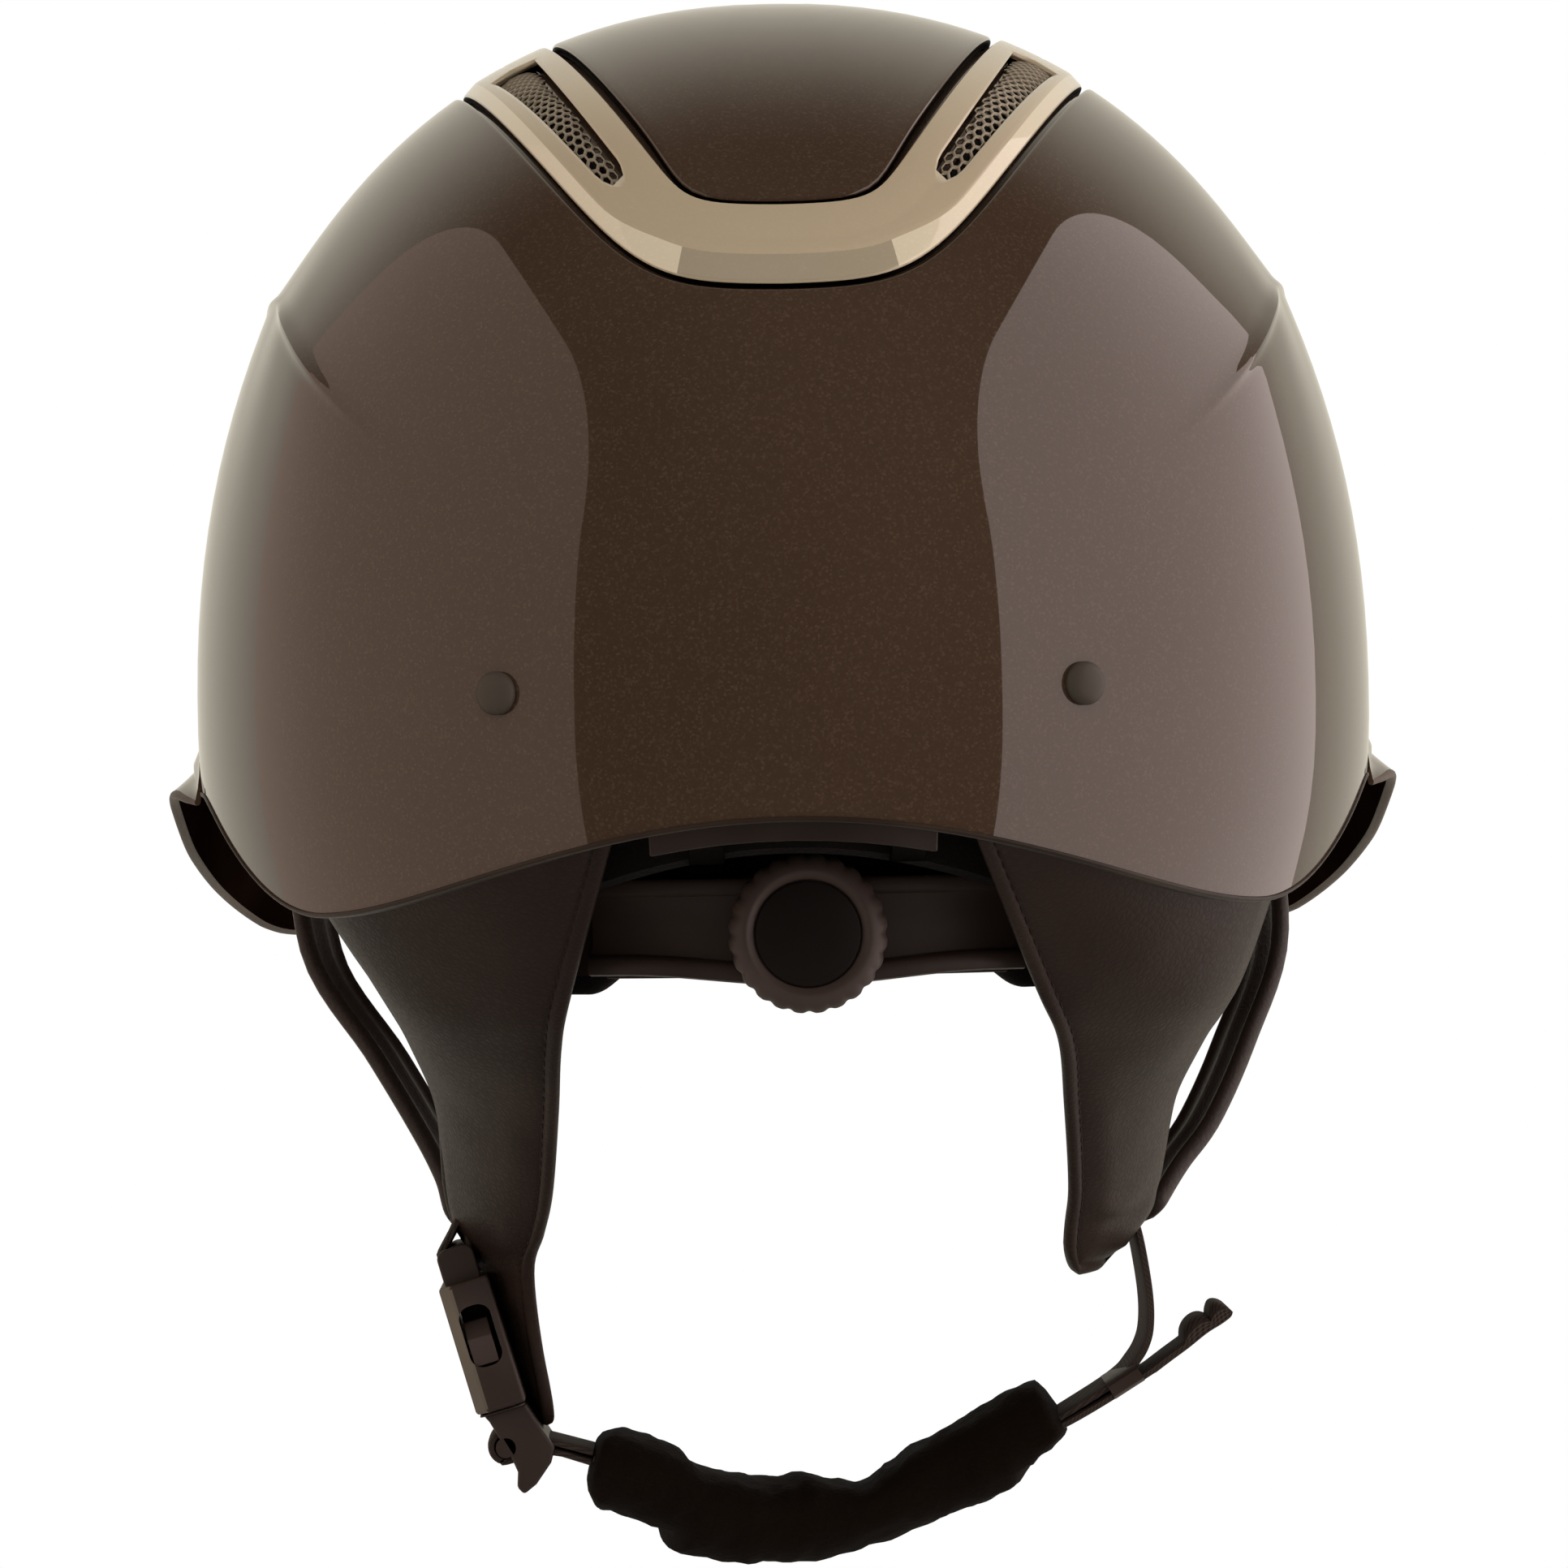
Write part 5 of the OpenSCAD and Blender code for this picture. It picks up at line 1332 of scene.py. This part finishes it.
def oblong(x, y, w, h, r):
    """A rectangle with round corners, as points."""
    corners = ((1, 1, 0), (-1, 1, 90), (-1, -1, 180), (1, -1, 270))
    return [(x + i * (w / 2 - r) + r * cosd(a), y + j * (h / 2 - r) + r * sind(a))
            for i, j, first in corners for a in range(first, first + 91, 15)]


def prism(name, outline, low, high, upright=False, bevel=0.0):
    """An outline across the buckle, drawn out along its width, or along its length if upright."""
    def spot(u, v, w):
        return buckle @ (Vector((u, v, w)) if upright else Vector((u, w, v))) * MM

    bm = bmesh.new()
    base = bm.faces.new([bm.verts.new(spot(u, v, low)) for u, v in outline])
    grown = bmesh.ops.extrude_face_region(bm, geom=[base])["geom"]
    bmesh.ops.translate(bm, verts=[v for v in grown if isinstance(v, bmesh.types.BMVert)],
                        vec=spot(0, 0, high) - spot(0, 0, low))
    bmesh.ops.recalc_face_normals(bm, faces=bm.faces)
    made = keep(name, bm)
    return rounded(made, bevel) if bevel else made


def carve(piece, *cutters):
    """Cuts other pieces out of a piece, and takes them away."""
    for cutter in cutters:
        cut = piece.modifiers.new("cut", "BOOLEAN")
        cut.operation = "DIFFERENCE"
        cut.object = cutter
    bpy.context.view_layer.update()
    depsgraph = bpy.context.evaluated_depsgraph_get()
    made = bpy.data.meshes.new_from_object(piece.evaluated_get(depsgraph))
    piece.modifiers.clear()
    piece.data = made
    for cutter in cutters:
        bpy.data.objects.remove(cutter)
    return piece


def moulding(name, *shape, bevel=0.0):
    """A prism of the buckle's plastic that stays with the housing."""
    return dress(prism(name, *shape, bevel=bevel), buckle_plastic, "plastic", "helmet")


# %% [markdown]
# The housing has a broad bevel on its outer edge, which catches the light, and a long round window
# on each side. The bevel's faces are picked by their direction once the cuts are made and get a
# paler plastic, a painted highlight.

# %% Buckle housing
outline = [(-4.7, -15), (4.7, -15), (4.7, 12.6), (2.5, 15), (-4.7, 15)]
housing = prism("buckle_shell", outline, -24, 0, upright=True, bevel=0.7)
hollow = prism("hollow", oblong(0, 0, 5.8, 26.4, 0.6), -25, -3, upright=True)
window = prism("window", oblong(-0.3, -10.2, 6.0, 11.4, 2.4), -16, 16)
rounded(carve(housing, hollow, window), 0.25, 2)
dress(housing, [buckle_plastic, buckle_painted_highlight], "plastic", "helmet", "buckle_housing")
for face in housing.data.polygons:
    way = buckle.to_3x3().inverted() @ face.normal
    face.material_index = int(way.x > 0.4 and way.y > 0.4)
moulding("buckle_bar", oblong(0, 4.7, 3.6, 3.6, 1.7), -12, 12)
for name, edge in (("buckle_front_cheek", -12.6), ("buckle_rear_cheek", 10.4)):
    moulding(name, oblong(0, 2.6, 6.8, 7.6, 1.8), edge, edge + 2.2, bevel=0.4)

# %% [markdown]
# The plug keeps the CAD's spine and sockets, because the prongs have to fit them. It is cut off
# below and ends in a flared grip with the web's bar beside it. The prongs move with bodies of
# their own.

# %% Buckle plug
SPINE_END = -24.6
bm = bmesh.new()
bm.from_mesh(nodes["buckle_plug"].data)
bmesh.ops.remove_doubles(bm, verts=bm.verts, dist=WELD)
bmesh.ops.bisect_plane(bm, geom=[*bm.verts, *bm.edges, *bm.faces], clear_inner=True,
                       plane_co=buckle @ Vector((0, 0, SPINE_END)) * MM,
                       plane_no=buckle.to_3x3() @ Vector((0, 0, 1)))
bmesh.ops.holes_fill(bm, edges=[e for e in bm.edges if e.is_boundary], sides=0)
insert = rounded(keep("buckle_insert", bm), 0.4)
dress(insert, buckle_plastic, "plastic", "plug", "buckle_plug")
flare = [(3.6, -24.4), (2.9, -25.8), (2.0, -29.3), (1.0, -32.9), (0.6, -36), (1.5, -38.6),
         (0.7, -40.2), (-2, -39.1), (-5.7, -36.1), (-7.1, -33.7), (-5.3, -28), (-4.3, -24.4)]
grip = prism("plug_grip", flare, -12, 12, bevel=0.6)
bar = prism("plug_bar", oblong(1.4, -31.2, 3.6, 3.6, 1.7), -12, 12)
for piece in (grip, bar):
    dress(piece, buckle_plastic, "plastic", "plug")
for node, body in (("front_prong", "front_press"), ("rear_prong", "rear_press")):
    dress(softened(node, node, 1.0), dial_plastic, "plastic", body, node)

# %% [markdown]
# ## Webbing
# Each web goes round a bar of the buckle and comes back on itself, sewn together. Straight strips
# would pass through the bar, so a half circle of points leads the sweep round it.

# %% Webbing round the buckle's bars
WEB_T, BAR_R, CLEAR = 1.6, 1.8, 0.05
HALF_GAP, HALF_GAP_END = 0.9, 0.85


def tape(width, thick):
    """A flat woven strip's section, with soft edges."""
    w, h = width / 2, thick / 2
    places = (-1, -0.97, -0.85, -0.5, 0, 0.5, 0.85, 0.97, 1)
    top = [(x * w, h * (1 - 0.5 * x ** 8)) for x in places]
    return lambda t: top + [(u, -v) for u, v in reversed(top)]


def web_loop(name, bar, via, to, width):
    """Webbing from to, past via, round a bar of the buckle and back."""
    d = (Vector(via) - Vector(bar)).normalized()
    n = Vector((-d.y, d.x))
    end = (Vector(to) - Vector(via)).normalized()
    side = Vector((-end.y, end.x))
    r = BAR_R + WEB_T / 2 + CLEAR
    flat = [Vector(to) + side * HALF_GAP_END, Vector(via) + n * HALF_GAP]
    flat += [Vector(bar) + r * (n * cosd(a) - d * sind(a)) for a in range(0, 181, 18)]
    flat += [Vector(via) - n * HALF_GAP, Vector(to) - side * HALF_GAP_END]
    line = [buckle @ Vector((p.x, 0, p.y)) for p in flat]
    return sweep(name, path(line, 3), (0, 1, 0), tape(width, WEB_T))


hanger = web_loop("hanger_web", (0, 4.7), (-2.9, 10.2), (-5.6, 15.4), 20)
dress(hanger, webbing, "webbing", "helmet", "buckle_hanger_web")

# %% [markdown]
# The plug's web crosses from the plug to the chin strap, which stays in place when the plug
# leaves. So it can't ride on one body, and it rides on none: its transform is baked where it lies.

# %% Plug's web
tail = web_loop("plug_loop", (1.4, -31.2), (-6.0, -33.4), (-12.9, -37.6), 19)
tail.data.materials.append(webbing)
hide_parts("plug_web")
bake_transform(tail)
print(tail.name, len(tail.data.polygons), "faces between plug and helmet")

# %% [markdown]
# On the right, the strap goes through a slider that doubles it with the web from the flap. Layers
# in the slider are counted from its middle, so that the webs lie on each other and don't cross.

# %% Chin strap and slider
chin_points = [(36.9, -3, 262.8), (28, -3.3, 265.5), (15, -7, 271), (0, -10, 274.5),
               (-18, -11, 272), (-34, -10, 265), (-47, -8.3, 259.5), (-56, -8, 254.7)]
hanger_points = [(-61.5, -9, 219.5), (-62.9, -9, 224), (-64, -9, 230), (-64.7, -9, 235.5),
                 (-64.8, -9, 240), (-64.2, -8.8, 243.6), (-62.4, -8.6, 247)]
chin, hanger = ([Vector((x, y, CROWN_TOP - drop)) for x, y, drop in points]
                for points in (chin_points, hanger_points))
LAYER = 0.95
away = Vector((-10, 0, 6.2)).normalized()
lift = Vector((away.z, 0, -away.x))
slider = chin[-1] + away * 5.6 + lift * LAYER


def in_slider(along, layer):
    return slider + away * along + lift * LAYER * layer


strips = {
    "chin_web": ("chin_strap", (0, 1, 0), 20, [*chin, in_slider(5.5, -1)]),
    "hanger_strip": ("right_hanger_web", (-0.05, 1, 0), 18,
                     [*hanger, in_slider(-1.5, 1), in_slider(-15, 1)]),
}
for name, (node, hint, width, points) in strips.items():
    strip = sweep(name, path(points), hint, tape(width, WEB_T))
    dress(strip, webbing, "webbing", "helmet", node)
sleeve_line = [in_slider(x, 0) for x in (-3.2, 0, 3.2)]
sleeve = sweep("strap_slider_sleeve", sleeve_line, (0, 1, 0), tape(22, 3.9))
dress(sleeve, plastic, "plastic", "helmet", "strap_slider")

# %% [markdown]
# The web's free end is folded over twice and sewn, so that it can't slip out of the slider. The
# section of its sweep changes on the way: it rises in two humps, and the last one ends round.

# %% Tail end
tail_line = path([(-65.4, -8, -217.4), (-68.4, -8, -215.2), (-71.5, -8, -213),
                  (-75, -8, -210.3), (-77.8, -8, -208.6), (-80, -8, -207)], 10)
HUMP_HALF, FLAT = 0.16, 0.85


def hump(t, middle, high):
    return high * math.sqrt(max(0, 1 - ((t - middle) / HUMP_HALF) ** 2))


def folded_end(t):
    """The tail ends in two folds on its upper side, and the last one is round."""
    fold_1, fold_2 = hump(t, 0.56, 3.0), hump(t, 0.84, 3.3)
    top = max(FLAT, fold_1, fold_2) if t < 0.9 else max(0.1, fold_2)
    low = FLAT if t < 0.9 else FLAT * math.sqrt(max(0.02, 1 - ((t - 0.9) / 0.1) ** 2))
    return [(u, v * top if v > 0 else v * low) for u, v in tape(20, 2)(0)]


tail_end = sweep("tail_end", tail_line, (0, 1, 0), folded_end)
dress(tail_end, webbing, "webbing", "helmet", "strap_tail_tip")

# %% [markdown]
# ## Chin pad
# The pad is a fleece sleeve round the strap, gathered so that its edges ripple. A simulated sleeve
# wouldn't ripple where the photograph's does, so its upper and lower edges were read off it, and
# the section between them is a soft oblong with a little noise. Each row is x, height above and
# below.

# %% Chin pad
edges = [(38.5, 3.0, -4.4), (36.5, 4.6, -6.8), (33, 5.6, -8.9), (24.5, 5.6, -8.8),
         (20.5, 4.2, -8.4), (19, 4.2, -11.6), (9.4, 4.7, -10.4), (3.4, 6.2, -9.4), (-1, 7.2, -8.6),
         (-8, 5.2, -7.8), (-12.9, 3.8, -7.2), (-19, 6.0, -6.6), (-25, 7.3, -6.6), (-32, 7.8, -7.4),
         (-38.2, 8.2, -7), (-42, 8.6, -4.8), (-45.5, 9.0, -3.4), (-47.8, 8.6, -2.8),
         (-49.8, 2.5, -2.4)]
PAD_HALF, SLEEVE_SIDES = 15, 36


def heights_at(x):
    """The sleeve's height above and below the strap, eased between the measured places."""
    j = next((i for i in range(len(edges) - 1) if edges[i + 1][0] <= x), len(edges) - 2)
    t = ease((edges[j][0] - x) / (edges[j][0] - edges[j + 1][0]))
    return mix(edges[j][1], edges[j + 1][1], t), mix(edges[j][2], edges[j + 1][2], t)


def sleeve_row(line, k):
    """The sleeve's section at point k of its line, closed in at both ends."""
    p = line[k]
    high, low = heights_at(p.x)
    along = (line[min(k + 1, len(line) - 1)] - line[max(k - 1, 0)]).normalized()
    across = (Vector((0, 1, 0)) - along * along.y).normalized()
    up = across.cross(along)
    up = up if up.z > 0 else -up
    ends = min(1, (k + 0.2) / 3, (len(line) - 0.8 - k) / 2.2)
    close = math.sqrt(ends * (2 - ends))
    row = []
    for s in range(SLEEVE_SIDES):
        c, h = cosd(s * 360 / SLEEVE_SIDES), sind(s * 360 / SLEEVE_SIDES)
        q = p + across * PAD_HALF * mix(0.4, 1, close) * math.copysign(abs(c) ** 0.7, c)
        q += up * (high if h > 0 else -low) * mix(0.5, 1, close) * math.copysign(abs(h) ** 0.75, h)
        q += (across * c + up * h) * (0.7 * noise.noise(q * 0.12) + 0.5 * noise.noise(q * 0.4))
        row.append(q)
    return row


pad_line = [p for p in path(chin, 14) if p.x > edges[-1][0]]
rows = [sleeve_row(pad_line, k) for k in range(len(pad_line))]
sleeve = skin("chin_sleeve", rows, ring=True, caps=True, smooth=70)
dress(sleeve, fleece, "fleece", "helmet", "chin_pad")

# %% [markdown]
# ## Nape cradle
# The cradle grips the nape. Its housing carries the dial, the two arms of the band slide in it,
# and two hangers hold it to a strip under the rim. The small pieces are softened copies of the
# CAD's. A few of them sit a little higher in the photograph, so a function moves the copy's
# points.

# %% Cradle helpers
cradle = Vector((-2.5, 18, CROWN_TOP - 166.5))
STRIP_RISE, BAND_LOW = 1.4, 6.5


def reshaped(name, node, move, bevel=0.3):
    """A softened copy of a CAD node whose points are moved by move(point), in millimetres."""
    made = softened(name, node, bevel)
    for v in made.data.vertices:
        v.co = move(v.co / MM) * MM
    return made


def tucked(p):
    """The band's lower edge sits a little higher than the CAD's."""
    low = cradle.z - BAND_LOW
    return Vector((p.x, p.y, low + (p.z - low) * 0.35 if p.z < low else p.z))


def on_arc(a, r, z):
    """A point of the cradle at an angle from its middle, a radius and a height."""
    return cradle + Vector((-r * sind(a), r * cosd(a), z))


# %% [markdown]
# The housing has a ridge along its top and its bottom with a hollow face between them. Its section
# is drawn once and carried round the nape, and it is a little deeper in the middle, behind the
# dial.

# %% Cradle housing
HOUSING_ARC, HOUSING_COLUMNS = 29, 116


def housing_section(a):
    """The housing's section as (radius, height)."""
    low = mix(9.0, 7.0, ease(abs(a) / 24))
    return [(72.3, 9.5), (76.6, 9.6), (77.2, 9.4), (77.5, 8.8), (77.5, 7.4), (77.2, 6.8),
            (76.5, 6.5), (76.2, 5.7), (76.0, 3), (75.9, 0), (76.0, -low + 5), (76.3, -low + 3.7),
            (77.2, -low + 3.3), (77.7, -low + 2.8), (77.8, -low + 1.2), (77.4, -low + 0.3),
            (76.6, -low), (72.3, -low)]


angles = [mix(-HOUSING_ARC, HOUSING_ARC, k / HOUSING_COLUMNS)
          for k in range(HOUSING_COLUMNS + 1)]
rows = [[on_arc(a, r, z) for r, z in housing_section(a)] for a in angles]
cradle_shell = skin("cradle_shell", rows, ring=True, caps=True, smooth=45)
dress(cradle_shell, plastic, "plastic", "helmet", "cradle_housing")

# %% [markdown]
# The strip, the cover, the arms with their racks, the pinion and the screw have to fit each other.
# They could be drawn anew, but then every tooth would have to match again. So they keep the CAD's
# shapes, but for the small moves above and softer edges.

# %% Bracket, cover, guides, arms and dial drive
strip = reshaped("bracket_strip", "cradle_bracket", lambda p: p + Vector((0, 0, STRIP_RISE)))
dress(strip, plastic, "plastic", "helmet", "cradle_bracket")
clips = softened("hanger_clips", "cradle_hangers", 0.3)
dress(clips, black_plastic_and_gap_shade, "plastic", "helmet", "cradle_hangers")
dress(reshaped("cradle_lid", "cradle_cover", tucked), plastic, "plastic", "helmet", "cradle_cover")
for side in ("left", "right"):
    guide = softened(side + "_guide_loop", side + "_arm_guide", 0.3)
    dress(guide, plastic, "plastic", "helmet", side + "_arm_guide")
for side in ("left", "right"):
    arm = reshaped(side + "_arm_band", side + "_band_arm", tucked, 0.0)
    dress(arm, plastic, "plastic", side + "_arm", side + "_band_arm")
dress(softened("pinion_gear", "dial_pinion"), plastic, "plastic", "dial", "dial_pinion")
dress(softened("dial_fixing", "dial_screw"), steel, "steel", "dial", "dial_screw")

# %% [markdown]
# The nape pad fills the space in front of the housing. It is a flat cushion whose section is a
# squared circle, with rounded ends and shallow seams across it.

# %% Nape pad
PAD_R, PAD_T, PAD_TOP = 69.6, 2.4, 14.5
NAPE_ARC, NAPE_COLUMNS, NAPE_SIDES = 40, 112, 28


def nape_row(k):
    """The cushion's section at column k, rounded off at both ends."""
    a = mix(-NAPE_ARC, NAPE_ARC, k / NAPE_COLUMNS)
    ends = min(1, (k + 0.2) / 5, (NAPE_COLUMNS + 0.2 - k) / 5)
    full = math.sqrt(ends * (2 - ends)) * (0.6 + 0.4 * quilt(a * 9, 2))
    low = mix(5.6, 10.4, ease((abs(a) - 25) / 9))
    row = []
    for s in range(NAPE_SIDES):
        c, h = cosd(s * 360 / NAPE_SIDES), sind(s * 360 / NAPE_SIDES)
        r = PAD_R - PAD_T - PAD_T * math.copysign(abs(c) ** 0.6, -c) * full
        row.append(on_arc(a, r, (PAD_TOP if h > 0 else low) * math.copysign(abs(h) ** 0.55, h)))
    return row


rows = [nape_row(k) for k in range(NAPE_COLUMNS + 1)]
nape = skin("nape_cushion", rows, ring=True, caps=True, smooth=60)
dress(nape, knit, "padding", "helmet", "nape_pad")

# %% [markdown]
# ## Dial
# The dial has 24 scallops for the fingers, a raised ring and a plain cap. Cutting scallops with a
# Boolean would leave hard corners. Here each point's radius dips by a cosine of its angle, and the
# last number of each profile row says how much of that dip it takes.

# %% Dial
SCALLOPS, DIP, SIDES = 24, 0.42, 288
dial_at = cradle + Vector((0, 78.1, 0))
dial = Matrix.Translation(dial_at) @ Matrix.Rotation(math.radians(-90), 4, "X")
profile = [(0, 0, 0), (12.6, 0, 0), (13.2, 0.2, 0.6), (13.6, 0.9, 1), (13.6, 4.6, 1),
           (13.45, 5.6, 0.9), (13.0, 6.5, 0.6), (12.4, 7.2, 0.25), (11.7, 7.7, 0.05),
           (11.0, 8.0, 0), (10.6, 8.05, 0), (10.35, 7.95, 0), (9.9, 7.6, 0), (9.4, 7.2, 0),
           (9.2, 7.0, 0), (9.15, 6.3, 0), (0, 6.3, 0)]
rows = []
for r, z, cut in profile:
    row = []
    for k in range(SIDES):
        a = 360 * k / SIDES
        dip = DIP * cut * (0.5 + 0.5 * cosd(SCALLOPS * a)) ** 2
        row.append(dial @ Vector(((r - dip) * cosd(a), (r - dip) * sind(a), z)))
    rows.append(row)
knob = skin("dial_grip", rows, ring=True, smooth=50)
dress(knob, dial_plastic, "dial", "dial", "dial_knob")
disc = [(0, 6.6), (9.0, 6.6), (9.0, 7.3), (8.85, 7.55), (8.5, 7.65), (5, 7.95), (0, 8.1)]
dress(turned("dial_disc", disc, dial, 96), cap_gloss, "dial", "dial", "dial_cap")
